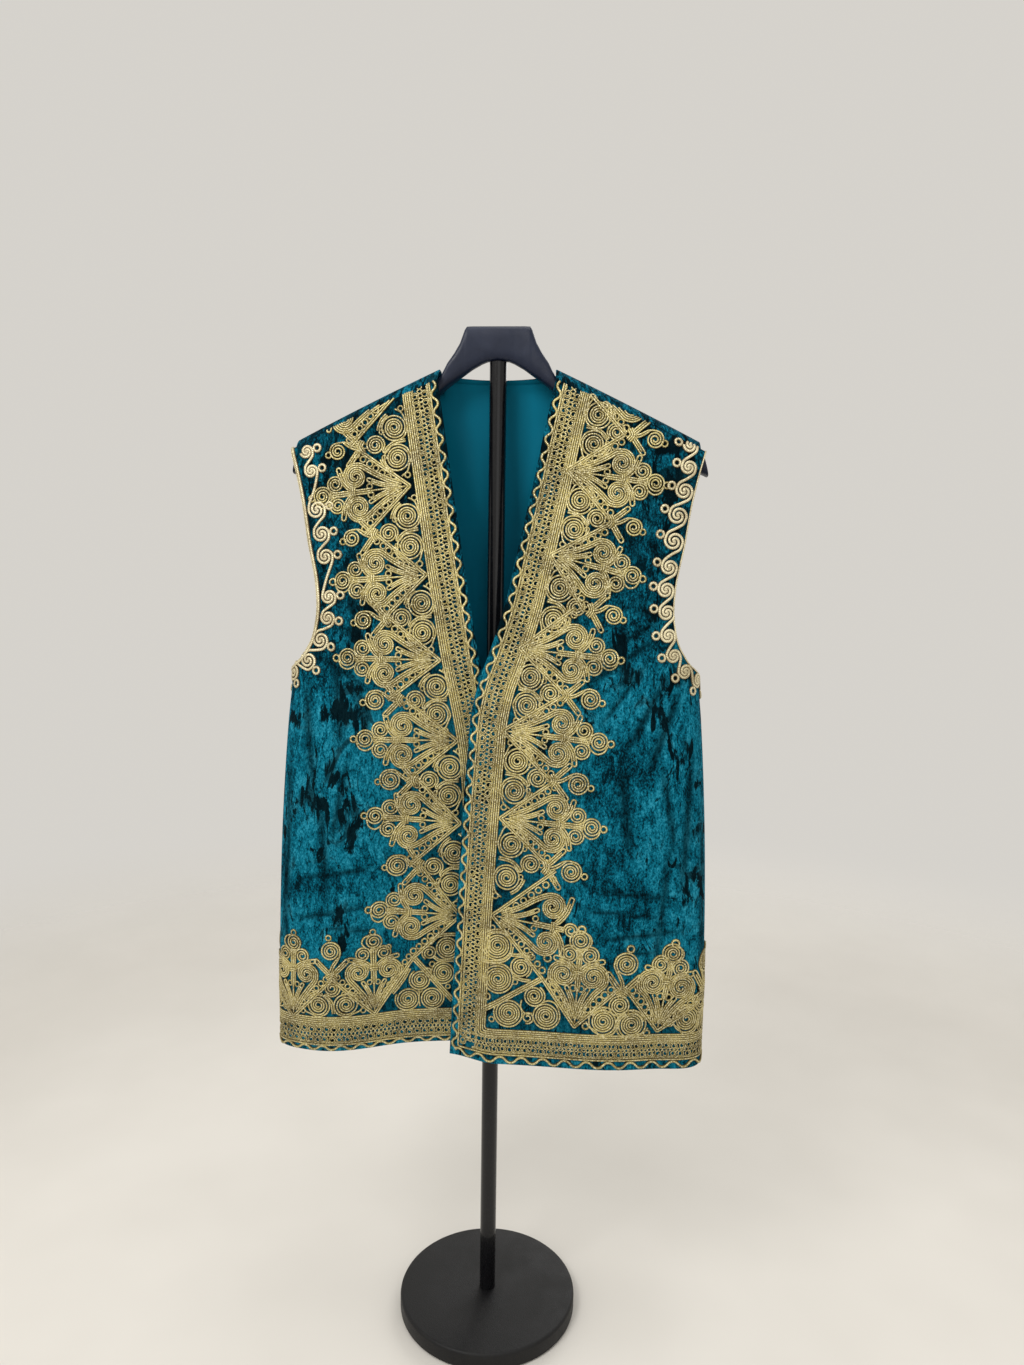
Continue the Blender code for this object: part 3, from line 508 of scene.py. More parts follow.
# Creases: both ends as (around, height), half width, and depth into the cloth.
CREASES = {
    "left": [
        ((0.172, 0.792), (0.112, 0.756), 0.0050, 0.0022),
        ((0.168, 0.772), (0.104, 0.728), 0.0060, 0.0030),
        ((0.160, 0.748), (0.118, 0.690), 0.0035, 0.0032),
        ((0.172, 0.730), (0.140, 0.668), 0.0070, -0.0020),
        ((0.196, 0.716), (0.168, 0.640), 0.0080, 0.0024),
        ((0.176, 0.640), (0.190, 0.560), 0.0060, -0.0016),
        ((0.140, 0.640), (0.150, 0.560), 0.0090, 0.0020),
        ((0.214, 0.650), (0.206, 0.520), 0.0080, 0.0030),
        ((0.224, 0.600), (0.226, 0.400), 0.0070, -0.0022),
        ((0.118, 0.520), (0.190, 0.512), 0.0050, 0.0016),
        ((0.104, 0.496), (0.176, 0.488), 0.0045, -0.0014),
        ((0.122, 0.470), (0.200, 0.478), 0.0055, 0.0018),
        ((0.136, 0.454), (0.176, 0.450), 0.0040, -0.0010),
        ((0.190, 0.560), (0.178, 0.430), 0.0060, 0.0018),
        ((0.160, 0.880), (0.176, 0.846), 0.0060, 0.0016),
        ((0.128, 0.886), (0.150, 0.852), 0.0050, -0.0010),
    ],
    "right": [
        ((0.166, 0.780), (0.118, 0.764), 0.0040, 0.0016),
        ((0.170, 0.766), (0.120, 0.742), 0.0045, -0.0014),
        ((0.186, 0.752), (0.128, 0.716), 0.0060, 0.0026),
        ((0.168, 0.752), (0.160, 0.660), 0.0080, 0.0034),
        ((0.200, 0.716), (0.190, 0.610), 0.0080, 0.0026),
        ((0.146, 0.640), (0.162, 0.560), 0.0070, -0.0018),
        ((0.182, 0.600), (0.176, 0.500), 0.0080, 0.0022),
        ((0.212, 0.640), (0.214, 0.480), 0.0070, -0.0020),
        ((0.128, 0.530), (0.196, 0.520), 0.0050, 0.0015),
        ((0.138, 0.488), (0.200, 0.476), 0.0050, 0.0018),
        ((0.126, 0.458), (0.170, 0.462), 0.0045, -0.0012),
        ((0.226, 0.560), (0.222, 0.420), 0.0060, 0.0022),
        ((0.150, 0.860), (0.168, 0.826), 0.0055, 0.0016),
    ],
    "back": [
        ((-0.170, 0.770), (-0.060, 0.720), 0.0090, 0.0030),
        ((-0.176, 0.742), (-0.104, 0.664), 0.0070, 0.0030),
        ((0.174, 0.764), (0.078, 0.716), 0.0085, 0.0028),
        ((0.178, 0.738), (0.116, 0.650), 0.0070, 0.0032),
        ((-0.050, 1.000), (-0.016, 0.900), 0.0120, 0.0020),
        ((0.056, 0.996), (0.024, 0.910), 0.0110, 0.0018),
        ((-0.030, 0.860), (-0.044, 0.640), 0.0140, -0.0026),
        ((0.046, 0.820), (0.052, 0.600), 0.0130, -0.0022),
        ((-0.118, 0.680), (-0.126, 0.500), 0.0100, 0.0026),
        ((0.128, 0.660), (0.118, 0.470), 0.0100, 0.0024),
        ((-0.214, 0.690), (-0.204, 0.470), 0.0080, 0.0026),
        ((0.212, 0.680), (0.216, 0.480), 0.0080, 0.0028),
        ((-0.090, 0.560), (0.010, 0.546), 0.0060, 0.0014),
        ((0.020, 0.500), (0.110, 0.508), 0.0055, 0.0015),
        ((-0.180, 0.470), (-0.110, 0.462), 0.0050, 0.0012),
    ],
}
# How fast a crease fades at its ends, and where the painted shade in its bottom lies and how wide it is, as
# shares of its half width.
CREASE_ENDS = 2.2
CREASE_BOTTOM = 0.5
CREASE_BOTTOM_WIDTH = 0.62
# The pile lies flat between the dense stitches of the braid, and painted shade darkens it there: how far in
# from the hem and the opening, and how dark.
STITCHED_HEM = 0.088
STITCHED_FRONT = 0.090
STITCHED_EDGE = 0.006
STITCHED_FADE = 0.016
STITCHED_SHADE = 0.60
# The velvet is darker from the chest up, between these heights.
CHEST_Z = (0.68, 0.82)
# The finest steps that the worn outline is worked out in: heights, lengths and angles.
HEIGHT_STEP = 0.003
LENGTH_STEP = 0.0015
LONGEST = 0.33
OUTLINE_STEPS = 400
HALVINGS = 30
RIDGE_ROUNDS = 8
JUST_INSIDE = 1.001


def through(table, column, at):
    """A table's column at places along its first column, on a smooth curve through its rows."""
    rows = np.array(sorted(table))
    places, values = rows[:, 0], rows[:, column]
    slopes = np.gradient(values, places)
    at = np.clip(at, places[0], places[-1])
    i = np.clip(np.searchsorted(places, at, "right") - 1, 0, len(places) - 2)
    width = places[i + 1] - places[i]
    t = (at - places[i]) / width
    start = values[i] * (1 + 2 * t) * (1 - t) ** 2 + slopes[i] * width * t * (1 - t) ** 2
    end = values[i + 1] * t * t * (3 - 2 * t) - slopes[i + 1] * width * t * t * (1 - t)
    return start + end


def ease(t):
    """0 to 1 with level ends."""
    t = np.clip(t, 0, 1)
    return t * t * (3 - 2 * t)


def along_shoulder(x):
    """0 at the neck and 1 at the shoulder's tip."""
    return (np.abs(x) - NECK_X) / (TIP_X - NECK_X)


def shoulder_top(x):
    """Height of the shoulder's ridge line."""
    t = np.maximum(along_shoulder(x), 0)
    return NECK_TOP_Z + (TIP_TOP_Z - NECK_TOP_Z) * t + SHOULDER_CROWN * t * np.maximum(1 - t, 0)


def seam_drop(x):
    """How far below the ridge the shoulder seam lies, in front."""
    return SEAM_DROP_NECK + (SEAM_DROP_TIP - SEAM_DROP_NECK) * np.clip(along_shoulder(x), 0, 1)


class Cloth:
    """One panel's worn surface: turns places on the flat drawing into points of its outer face."""

    def __init__(self, panel):
        self.panel = panel
        self.side_sign = 1 if panel == "left" else -1
        self.heights = np.arange(HEM_Z - 2 * HEIGHT_STEP, NECK_TOP_Z + 4 * HEIGHT_STEP, HEIGHT_STEP)
        self.lengths = np.arange(0, LONGEST, LENGTH_STEP)
        columns = (HALF, DEPTH[panel], SQUARENESS)
        half, depth, power = (through(SECTIONS, column, self.heights)[:, None] for column in columns)
        angle = np.linspace(0, math.pi / 2, OUTLINE_STEPS)[None]
        radius = (np.sin(angle) ** power + np.cos(angle) ** power) ** (-1 / power)
        x, y = half * radius * np.sin(angle), depth * radius * np.cos(angle)
        steps = np.cumsum(np.hypot(np.diff(x), np.diff(y)), axis=1)
        along = np.concatenate([np.zeros((len(steps), 1)), steps], axis=1)
        self.side = along[:, -1]
        self.x = np.array([np.interp(self.lengths, a, v) for a, v in zip(along, x)])
        self.y = np.array([np.interp(self.lengths, a, v) for a, v in zip(along, y)])

    def drawn(self, around, z):
        """Distance from the centre plane, and depth before folds, at places on the flat drawing."""
        row = (z - self.heights[0]) / (self.heights[1] - self.heights[0])
        row = np.clip(row, 0, len(self.heights) - JUST_INSIDE)
        column = np.abs(around) / (self.lengths[1] - self.lengths[0])
        column = np.clip(column, 0, len(self.lengths) - JUST_INSIDE)
        i, j = row.astype(int), column.astype(int)
        up, over = row - i, column - j
        found = []
        for grid in (self.x, self.y):
            low = grid[i, j] * (1 - over) + grid[i, j + 1] * over
            high = grid[i + 1, j] * (1 - over) + grid[i + 1, j + 1] * over
            found.append(low * (1 - up) + high * up)
        return found

    def side_line(self, z):
        """Length along the cloth from the centre line to the side line."""
        return np.interp(z, self.heights, self.side)

    def around_at(self, x, z):
        """The inverse of drawn: length along the cloth at a distance from the centre plane."""
        low, high = np.zeros_like(x), np.full_like(x, self.lengths[-1])
        for _ in range(HALVINGS):
            middle = (low + high) / 2
            inside = self.drawn(middle, z)[0] < np.abs(x)
            low, high = np.where(inside, middle, low), np.where(inside, high, middle)
        return low * np.sign(x)

    def below_ridge(self, around, drop):
        """Height on the flat drawing that lies drop(x) below the shoulder's ridge."""
        z = np.ones_like(around)
        for _ in range(RIDGE_ROUNDS):
            x = self.drawn(around, z)[0]
            z = shoulder_top(x) - drop(x)
        return z

    def armhole_edge(self, z):
        """How far round the cloth the panel reaches: to its armhole, or to the side seam."""
        inset = np.where(z > UNDERARM_Z, through(ARMHOLE, 1, z), 0)
        return self.side_line(z) - SEAM_GAP / 2 - inset

    def opening(self, z):
        """Where the panel starts at some heights: its opening's edge, or the middle of the back."""
        if self.panel == "back":
            return np.zeros_like(z)
        return through(OPENING, OPENING_EDGE[self.panel], z)

    def creases(self, around, z):
        """Each crease's width, depth, strength at some places, and their distance off its line."""
        for (a0, z0), (a1, z1), width, depth in CREASES[self.panel]:
            run = np.array([a1 - a0, z1 - z0])
            length = np.hypot(*run)
            run = run / length
            t = ((around - a0) * run[0] + (z - z0) * run[1]) / length
            off = (around - a0) * run[1] - (z - z0) * run[0]
            yield width, depth, ease(0.5 + CREASE_ENDS * (0.5 - np.abs(t - 0.5))), off

    def hollow(self, around, x, z):
        """How far folds, creases and the fronts' overlap move the cloth inwards."""
        total = np.zeros_like(x)
        for middle, width, depth, top_z in FOLDS[self.panel]:
            total += depth * ease((top_z - z) / (top_z - HEM_Z)) * np.exp(-(((x - middle) / width) ** 2))
        for width, depth, fade, off in self.creases(around, z):
            total += depth * fade * np.exp(-((off / width) ** 2))
        if self.panel == "right":
            total += through(SECTIONS, TUCK, z) * ease((TUCK_FROM - x) / (TUCK_FROM - TUCK_TO))
        if self.panel == "left":
            total += through(SECTIONS, TURN, z) * ease((TURN_FROM - x) / (TURN_FROM - TURN_TO))
        return total

    def pinched(self, around, z):
        """How dark the pile is painted, from 0 to 1: painted shade in creases and along the seam, and pressed
        pile with painted shade round the braid.
        """
        most = np.zeros_like(around)
        for width, depth, fade, off in self.creases(around, z):
            off = off - width * math.copysign(CREASE_BOTTOM, depth)
            most = np.maximum(most, fade * np.exp(-((off / (width * CREASE_BOTTOM_WIDTH)) ** 2)))
        up = z - HEM_Z
        stitched = ease((STITCHED_HEM - up) / STITCHED_FADE) * ease((up - STITCHED_EDGE) / STITCHED_FADE)
        if self.panel != "back":
            from_seam = (z - self.below_ridge(around, seam_drop)) / SEAM_SHADOW
            most = np.maximum(most, np.exp(-(from_seam**2)))
            inset = around - self.opening(z)
            beside = ease((STITCHED_FRONT - inset) / STITCHED_FADE) * (up > STITCHED_EDGE)
            stitched = np.maximum(stitched, beside) * ease((inset - STITCHED_EDGE) / STITCHED_FADE)
        return np.maximum(most, stitched * STITCHED_SHADE)

    def points(self, around, z):
        """Points of the worn cloth's outer face at places on the flat drawing."""
        x, depth = self.drawn(around, z)
        below = np.clip((shoulder_top(x) - z) / ROLL_RADIUS, 0, 1)
        depth = depth * np.sqrt(np.maximum(1 - (1 - below) ** 2, 0))
        level = 1 - (x / through(SECTIONS, HALF, z)) ** 4
        x = np.copysign(x, around)
        depth = depth - self.hollow(around, x, z) * level
        if self.panel == "back":
            return np.stack([x, depth, z], axis=-1)
        return np.stack([x * self.side_sign, -depth, z], axis=-1)

    def facing(self, around, z):
        """The cloth's outward direction at places on the flat drawing."""
        step = LENGTH_STEP
        aside = self.points(around + step, z) - self.points(around - step, z)
        upward = self.points(around, z + step) - self.points(around, z - step)
        outward = np.cross(aside, upward) * self.side_sign
        return outward / np.maximum(np.linalg.norm(outward, axis=-1, keepdims=True), 1e-12)


def split(breaks, step):
    """Places from the first break to the last, no further apart than step, with every break kept."""
    found = [breaks[:1]]
    for a, b in zip(breaks, breaks[1:]):
        found.append(np.linspace(a, b, max(math.ceil(abs(b - a) / step), 1) + 1)[1:])
    return np.concatenate(found)


def shell(name, points, facing, flat, offsets, bolt, pinched=None, kept=None):
    """A closed cloth mesh from its grid: both faces at their offsets, and the turned-in rim.

    The rim's own points are drawn in by EDGE_ROUNDING, and the inner face takes material 1. bolt is
    where on the bolt the panel was cut, so that no two panels show the same patches.
    """
    rows, columns = points.shape[:2]
    kept = np.ones((rows - 1, columns - 1), bool) if kept is None else kept
    number = np.arange(rows * columns).reshape(rows, columns)
    cells = np.stack([number[:-1, :-1], number[:-1, 1:], number[1:, 1:], number[1:, :-1]], axis=-1)[kept]
    flat_points, out = points.reshape(-1, 3), facing.reshape(-1, 3)
    a, b, c = (flat_points[cells[:, k]] for k in (0, 1, 2))
    if (np.cross(b - a, c - b) * out[cells[:, 0]]).sum() < 0:
        cells = cells[:, ::-1]
    directed = np.stack([cells, np.roll(cells, -1, axis=1)], axis=-1).reshape(-1, 2)
    there = set(map(tuple, directed.tolist()))
    rim = np.array([e for e in directed.tolist() if (e[1], e[0]) not in there])
    used = np.unique(cells)
    at = np.full(rows * columns, -1)
    at[used] = np.arange(len(used))
    outer, inner = (np.full(rows * columns, float(offset)) for offset in offsets)
    outer[rim[:, 0]] -= EDGE_ROUNDING
    inner[rim[:, 0]] += EDGE_ROUNDING
    verts = [flat_points[used] + out[used] * level[used, None] for level in (outer, inner)]
    count = len(used)
    top, bottom = at[cells], at[cells[:, ::-1]] + count
    sides = np.stack([at[rim[:, 1]], at[rim[:, 0]], at[rim[:, 0]] + count, at[rim[:, 1]] + count], axis=1)
    faces = np.concatenate([top, bottom, sides])
    mesh = bpy.data.meshes.new(name)
    mesh.from_pydata(np.concatenate(verts).tolist(), [], faces.tolist())
    mesh.polygons.foreach_set("material_index", np.repeat([0, 1, 0], [len(top), len(bottom), len(sides)]))
    drawn = np.tile(flat.reshape(-1, 2)[used] + bolt, (2, 1))
    # Each point keeps its pressed pile and painted shade, which the velvet's colour reads.
    if pinched is not None:
        marks = mesh.attributes.new("pinched", "FLOAT", "POINT")
        marks.data.foreach_set("value", np.tile(pinched.ravel()[used], 2).astype(np.float32))
    corners = np.zeros(len(mesh.loops), np.int32)
    mesh.loops.foreach_get("vertex_index", corners)
    mesh.uv_layers.new(name="flat").data.foreach_set("uv", drawn[corners].astype(np.float32).ravel())
    return mesh


def flat_area(flat, kept=None):
    """Area of a grid's flat drawing, in square metres."""
    across = flat[1:, 1:] - flat[:-1, :-1]
    other = flat[1:, :-1] - flat[:-1, 1:]
    areas = np.abs(across[..., 0] * other[..., 1] - across[..., 1] * other[..., 0]) / 2
    return float((areas if kept is None else areas[kept]).sum())


def cloth_piece(name, node, finishes, grid, offsets, bolt, pinched=None, kept=None):
    """A finished sheet of cloth from its grid of points, facings and flat places, standing for a
    solid. Returns it with its flat size and area."""
    made = new_piece(name, shell(name, *grid, offsets, bolt, pinched, kept), *finishes, crease=CLOTH_CREASE)
    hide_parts(node)
    flat = grid[2]
    return made, flat.max(axis=(0, 1)) - flat.min(axis=(0, 1)), flat_area(flat, kept)


def crushed_velvet(name):
    """Velvet whose pile is pressed in all directions: bright, dull and nearly black patches."""
    made = Finish(name, Specular_IOR_Level=0.03)
    flat = made.place("UV")
    tall = made.place("UV", (1.0, 0.42, 1.0))
    cloud = made.noise(flat, 12.0, 2.0, 0.5, 0.4)
    patches = made.noise(made.place("UV", (1.0, 0.6, 1.0)), 30.0, 5.0, 0.62, 1.1)
    streaks = made.noise(made.place("UV", (1.0, 0.32, 1.0)), 78.0, 5.0, 0.66, 1.3)
    crush = made.noise(tall, 150.0, 5.0, 0.70, 1.0)
    pile = made.noise(made.place("UV", (1.0, 0.6, 1.0)), 620.0, 3.0, 0.65, 0.4)
    pinched = made.node("ShaderNodeAttribute", {"attribute_name": "pinched"}, output=2)
    chest = made.between(made.axis(made.place("Object"), 2), *CHEST_Z)
    tone = crush * 0.50 + pile * 0.42 + (cloud - 0.5) * 0.30 + (patches - 0.5) * 0.25 + 0.043 - chest * 0.046
    colour = made.ramp(
        tone,
        (0.385, (0.0003, 0.010, 0.016)),
        (0.430, (0.0009, 0.040, 0.064)),
        (0.465, (0.0014, 0.078, 0.125)),
        (0.500, (0.0022, 0.122, 0.190)),
        (0.540, (0.0060, 0.176, 0.268)),
        (0.620, (0.0300, 0.300, 0.425)),
    )
    dark = made.between(patches + (cloud - 0.5) * 0.9 + chest * 0.115, 0.580, 0.720) * 0.85
    streaked = streaks + (patches - 0.5) * 0.60 + (cloud - 0.5) * 1.0 + chest * 0.095
    dark = made.maths("MAXIMUM", dark, made.between(streaked, 0.590, 0.670))
    # Pressed pile and painted shade from the mesh darken creases, the shoulder seam and the velvet between
    # the braid's cords.
    dark = made.maths("MAXIMUM", dark * 0.97, pinched * 0.85)
    made.feed("Base Color", made.mix(dark, colour, (0.0002, 0.003, 0.0045)))
    made.feed("Roughness", 0.88 - made.between(tone, 0.42, 0.66) * 0.26)
    made.bump(tone * 0.8 - dark * 0.4, 0.0016, 0.6)
    return made.material


def satin_lining(name):
    """Smooth dyed lining satin with a fine weave, and long soft vertical shading painted into its colour."""
    made = Finish(name, Specular_IOR_Level=0.06)
    long_way = made.place("UV", (1.0, 0.16, 1.0))
    drape = made.noise(long_way, 26.0, 2.0, 0.5, 0.3)
    weave = made.noise(made.place("UV", (1.0, 0.3, 1.0)), 1600.0, 2.0)
    # The soft vertical folds' shade is painted into the colour from the drape noise.
    colour = made.ramp(drape, (0.30, (0.0005, 0.128, 0.205)), (0.72, (0.001, 0.185, 0.295)))
    made.feed("Base Color", colour)
    made.feed("Roughness", made.between(drape, 0.3, 0.7) * 0.10 + 0.46)
    made.bump(weave * 0.25 + drape, 0.0012, 0.35)
    return made.material


VELVET = crushed_velvet("crushed_teal_velvet")
SATIN = satin_lining("teal_satin_lining")
CLOTHS = {name: Cloth(name) for name in ("left", "right", "back")}
BOLT = {"left": (0.0, 0.0), "right": (1.31, 0.37), "back": (2.63, 0.91)}
CLOTH_CREASE = math.radians(60)
FRONT_STEP = 0.0036
FRONT_WIDTH = 0.25
for panel in ("left", "right"):
    cloth = CLOTHS[panel]
    first = RISE_FROM_Z[panel]
    breaks = [HEM_Z, HEM_Z + EDGE_ROUNDING] + [z for z, _ in BENDS] + [first]
    low = split(np.array(breaks), FRONT_STEP)
    seam = float(cloth.below_ridge(cloth.opening(np.array([OPENING[0][0]])), seam_drop)[0])
    rise = split(np.array([0, 1 - EDGE_ROUNDING / (seam - first), 1]), FRONT_STEP / (seam - first))[1:]
    inner_z = np.concatenate([low, first + (seam - first) * rise])
    bent = np.interp(low, [z for z, _ in BENDS], [side for _, side in BENDS])
    bent = np.where((low > BENDS[0][0]) & (low < BENDS[-1][0]), bent, low)
    outer_z = np.concatenate([bent, first + (TIP_ROW_Z - first) * rise])
    edge, side = cloth.opening(inner_z), cloth.armhole_edge(outer_z)
    near = EDGE_ROUNDING / FRONT_WIDTH
    shares = split(np.array([0, near, 1 - near, 1]), FRONT_STEP / FRONT_WIDTH)
    around = edge[:, None] + (side - edge)[:, None] * shares[None]
    reach = np.maximum(around - edge[:, None] - BEND_FROM, 0) / (side - edge - BEND_FROM)[:, None]
    z = inner_z[:, None] + (outer_z - inner_z)[:, None] * reach
    seam_z = cloth.below_ridge(around, seam_drop)
    z[len(low) :] = first + (seam_z[len(low) :] - first) * rise[:, None]
    cloth_piece(
        f"velvet_front_{panel}",
        f"front_{panel}",
        (VELVET, SATIN),
        (cloth.points(around, z), cloth.facing(around, z), np.stack([around, z], axis=-1)),
        (0, -CLOTH),
        BOLT[panel],
        cloth.pinched(around, z),
    )

# --- Velvet back -----------------------------------------------------------------------------
# One piece of the same velvet, cut with a high shallow neck. Its shoulders roll over the hanger's
# arms and are sewn to the fronts a little way down in front.

BACK_NECK_Z = 1.046
BACK_NECK_RISE = 0.004
BACK_NECK_SHARE = 0.2885
BACK_NECK_LOOK_Z = 1.04
BACK_ARMHOLE_ROWS = [0.7350, 0.7385, 0.7460, 0.7600, 0.7800, 0.8080, 0.8430, 0.8850, 0.9250, 0.9530]
BACK_STEP = 0.0048
BACK_HALF = 0.24
BACK_ARMHOLE = 0.28
ROLL_ROWS = 9
SEAM_ROWS = 6
NECK_ROWS = 5

cloth = CLOTHS["back"]
low = split(np.array([HEM_Z, HEM_Z + EDGE_ROUNDING, UNDERARM_Z]), BACK_STEP)
even = split(np.array([0.0, 1.0]), BACK_STEP / BACK_ARMHOLE)[1:]
count = len(BACK_ARMHOLE_ROWS)
side_z = np.concatenate([low, np.interp(even * (count - 1), np.arange(count), BACK_ARMHOLE_ROWS)])
even = np.concatenate([np.zeros(len(low)), even])
near = EDGE_ROUNDING / BACK_HALF
neck = BACK_NECK_SHARE
half_shares = split(np.array([0, neck - near, neck, neck + near, 1 - near, 1]), BACK_STEP / BACK_HALF)
shares = np.concatenate([-half_shares[:0:-1], half_shares])
around = cloth.armhole_edge(side_z)[:, None] * shares[None]
top = cloth.below_ridge(around, lambda x: ROLL_RADIUS)
climb = (np.maximum(side_z - UNDERARM_Z, 0) / (BACK_ARMHOLE_ROWS[-1] - UNDERARM_Z))[:, None]
lift = climb + (even[:, None] - climb) * (1 - np.abs(shares[None]) ** 3)
z = np.minimum(side_z, UNDERARM_Z)[:, None] + (top - UNDERARM_Z) * lift
points, facing = [cloth.points(around, z)], [cloth.facing(around, z)]
flat = [np.stack([around, z], axis=-1)]
pinched = cloth.pinched(around, z)
last_around, last_z = around[-1], z[-1]
neck_x = cloth.drawn(last_around, np.full_like(last_around, BACK_NECK_LOOK_Z))[0]
neck_z = BACK_NECK_Z + BACK_NECK_RISE * (neck_x / NECK_X) ** 2
in_neck = np.abs(shares) < neck - near / 2
wrap = np.concatenate([np.arange(1, ROLL_ROWS + 1) / ROLL_ROWS, 1 + np.arange(1, SEAM_ROWS + 1) / SEAM_ROWS])
left = CLOTHS["left"]
run = last_z.copy()
for share in wrap:
    below = ROLL_RADIUS * (1 - math.sin(math.pi / 2 * min(share, 1)))
    z = cloth.below_ridge(last_around, lambda x: below)
    row, turned = cloth.points(last_around, z), cloth.facing(last_around, z)
    if share >= 1:
        part = (share - 1) ** 2
        z = left.below_ridge(last_around, lambda x: (seam_drop(x) - SEAM_GAP) * part)
        row, turned = left.points(np.abs(last_around), z), left.facing(np.abs(last_around), z)
        row[:, 0], turned[:, 0] = (np.copysign(v[:, 0], last_around) for v in (row, turned))
    if share == 1:
        turned = np.tile([0.0, 0.0, 1.0], (len(last_around), 1))
    up_neck = min(share * ROLL_ROWS / NECK_ROWS, 1)
    low_z = last_z + (neck_z - last_z) * up_neck
    row[in_neck] = cloth.points(last_around, low_z)[in_neck]
    turned[in_neck] = cloth.facing(last_around, low_z)[in_neck]
    run = run + np.linalg.norm(row - points[-1][-1], axis=1)
    points.append(row[None])
    facing.append(turned[None])
    flat.append(np.stack([last_around, run], axis=-1)[None])
points, facing, flat = (np.concatenate(grids) for grids in (points, facing, flat))
drawn_rows = len(around)
kept = np.ones((len(points) - 1, len(shares) - 1), bool)
neck_cells = in_neck[:-1] | in_neck[1:]
kept[drawn_rows - 1 + NECK_ROWS :, neck_cells] = False
pinched = np.concatenate([pinched, np.zeros((len(points) - len(pinched), len(shares)))])
cloth_piece(
    "velvet_back",
    "back",
    (VELVET, SATIN),
    (points, facing, flat),
    (0, -CLOTH),
    BOLT["back"],
    pinched,
    kept,
)

# --- Back lining -----------------------------------------------------------------------------
# Teal satin cut like the back and sewn in at the neck, armholes and hem. It shows through the
# open neck and hangs a little away from the velvet.

LINING = 0.001
LINING_GAP = 0.0009
# The lining ends this many rows short of the neck's edge.
LINING_SHORT = 1

rows = drawn_rows + NECK_ROWS - LINING_SHORT
kept = np.ones((rows - 1, len(shares) - 1), bool)
kept[drawn_rows - 1 :, ~neck_cells] = False
back_lining, *lining_cut = cloth_piece(
    "satin_back_lining",
    "back_lining",
    (SATIN, SATIN),
    (points[:rows], facing[:rows], flat[:rows]),
    (-CLOTH - LINING_GAP, -CLOTH - LINING_GAP - LINING),
    BOLT["back"],
    kept=kept,
)

# --- Gold cord -------------------------------------------------------------------------------
# Fine gold cord, laid on the velvet and stitched down (couched) with thin thread. Every line of
# the border and of the motifs is one run of this cord, drawn on the flat panel in millimetres.

MM = 0.001
CORD_WIDTH = 2.35
CORD_HEIGHT = 1.9
CORD_LIFT = 0.5
CORD_SAG = 0.07
LONGEST_STEP = 4.5
EDGE_CLEARANCE = 1.2
SEAM_CLEARANCE = 0.4
BACK_BRAID_DROP = 0.008
SHOULDER_CLEARANCE = 0.3
DRAWING_STEP = 0.4
# The fewest steps of a whole cord, and of what an edge of the panel leaves of one.
FEWEST_WHOLE = 7
FEWEST_LEFT = 20
TWISTS_PER_MM = 0.55
# How wide a cord's top is, and how far round it each edge and its bottom lie: the top's middle is
# at CROWN, and the ground under the cord runs from 0.5 to 1.
CORD_TOP = 0.62
CORD_AROUND = (0.0, 0.16, 0.34, 0.5, 1.0)
CROWN = 0.25
# The cords get painted shade towards the hem, growing from the upper of these heights down to the lower.
HEM_SHADE_Z = (0.335, 0.430)


def gold_cord(name, dull, bright, shaded):
    """Metal-wrapped thread: strands twisted along the cord, with painted glints, and painted shade between
    the strands, down its sides and towards the hem.
    """
    made = Finish(name, Specular_IOR_Level=0.5)
    run = made.place("UV")
    along, around = made.axis(run, 0), made.axis(run, 1)
    turns = along * TWISTS_PER_MM + around * 2.0
    strands = made.maths("SINE", turns * (2 * math.pi)) * 0.5 + 0.5
    from_top = made.maths("ABSOLUTE", around - CROWN)
    place = made.place("Object")
    glint = made.noise(place, 760.0, 2.0, 0.6)
    tone = made.noise(place, 34.0, 5.0, 0.75)
    thread = made.mix(made.between(tone, 0.36, 0.64), dull, bright)
    # Painted shade: between the twisted strands, down the cord's sides, and towards the hem.
    thread = made.mix(made.between(strands, 0.0, 0.5) * 0.55 + 0.45, shaded, thread)
    thread = made.mix(made.between(from_top, 0.055, 0.175), thread, shaded)
    thread = made.mix(made.between(made.axis(place, 2), *HEM_SHADE_Z) * 0.26 + 0.74, shaded, thread)
    # Painted glints: highlights on the cord's top in its base colour, where it is also more metallic and
    # smoother.
    shine = made.between(glint, 0.44, 0.62) * made.between(from_top, 0.11, 0.03)
    made.feed("Base Color", made.mix(shine * 0.72, thread, (1.0, 0.93, 0.60)))
    made.feed("Metallic", shine * 0.3 + 0.25)
    made.feed("Roughness", 0.50 - shine * 0.16)
    made.bump(strands * 0.8 + glint * 0.4, 0.0005, 0.6)
    return made.material


def run_of(line):
    """Length along a line up to each of its points."""
    return np.concatenate([[0], np.cumsum(np.linalg.norm(np.diff(line, axis=0), axis=1))])


def spaced(line, step):
    """The same line with points about a step apart."""
    run = run_of(line)
    at = np.linspace(0, run[-1], max(int(run[-1] / step), 2) + 1)
    return np.stack([np.interp(at, run, line[:, k]) for k in (0, 1)], axis=1)


def thinned(line):
    """The same line with as many points as its bends need."""
    ahead = np.diff(line, axis=0)
    lengths = np.linalg.norm(ahead, axis=1)
    turn = np.unwrap(np.arctan2(ahead[:, 1], ahead[:, 0]))
    bend = np.abs(np.gradient(turn)) / np.maximum(lengths, 1e-9)
    bend = np.convolve(np.pad(bend, 2, mode="edge"), np.ones(5) / 5, "valid")
    need = np.maximum(np.sqrt(bend / (8 * CORD_SAG)), 1 / LONGEST_STEP) * lengths
    total = np.concatenate([[0], np.cumsum(need)])
    at = np.linspace(0, total[-1], max(math.ceil(total[-1]), 2) + 1)
    return np.stack([np.interp(at, total, line[:, k]) for k in (0, 1)], axis=1)


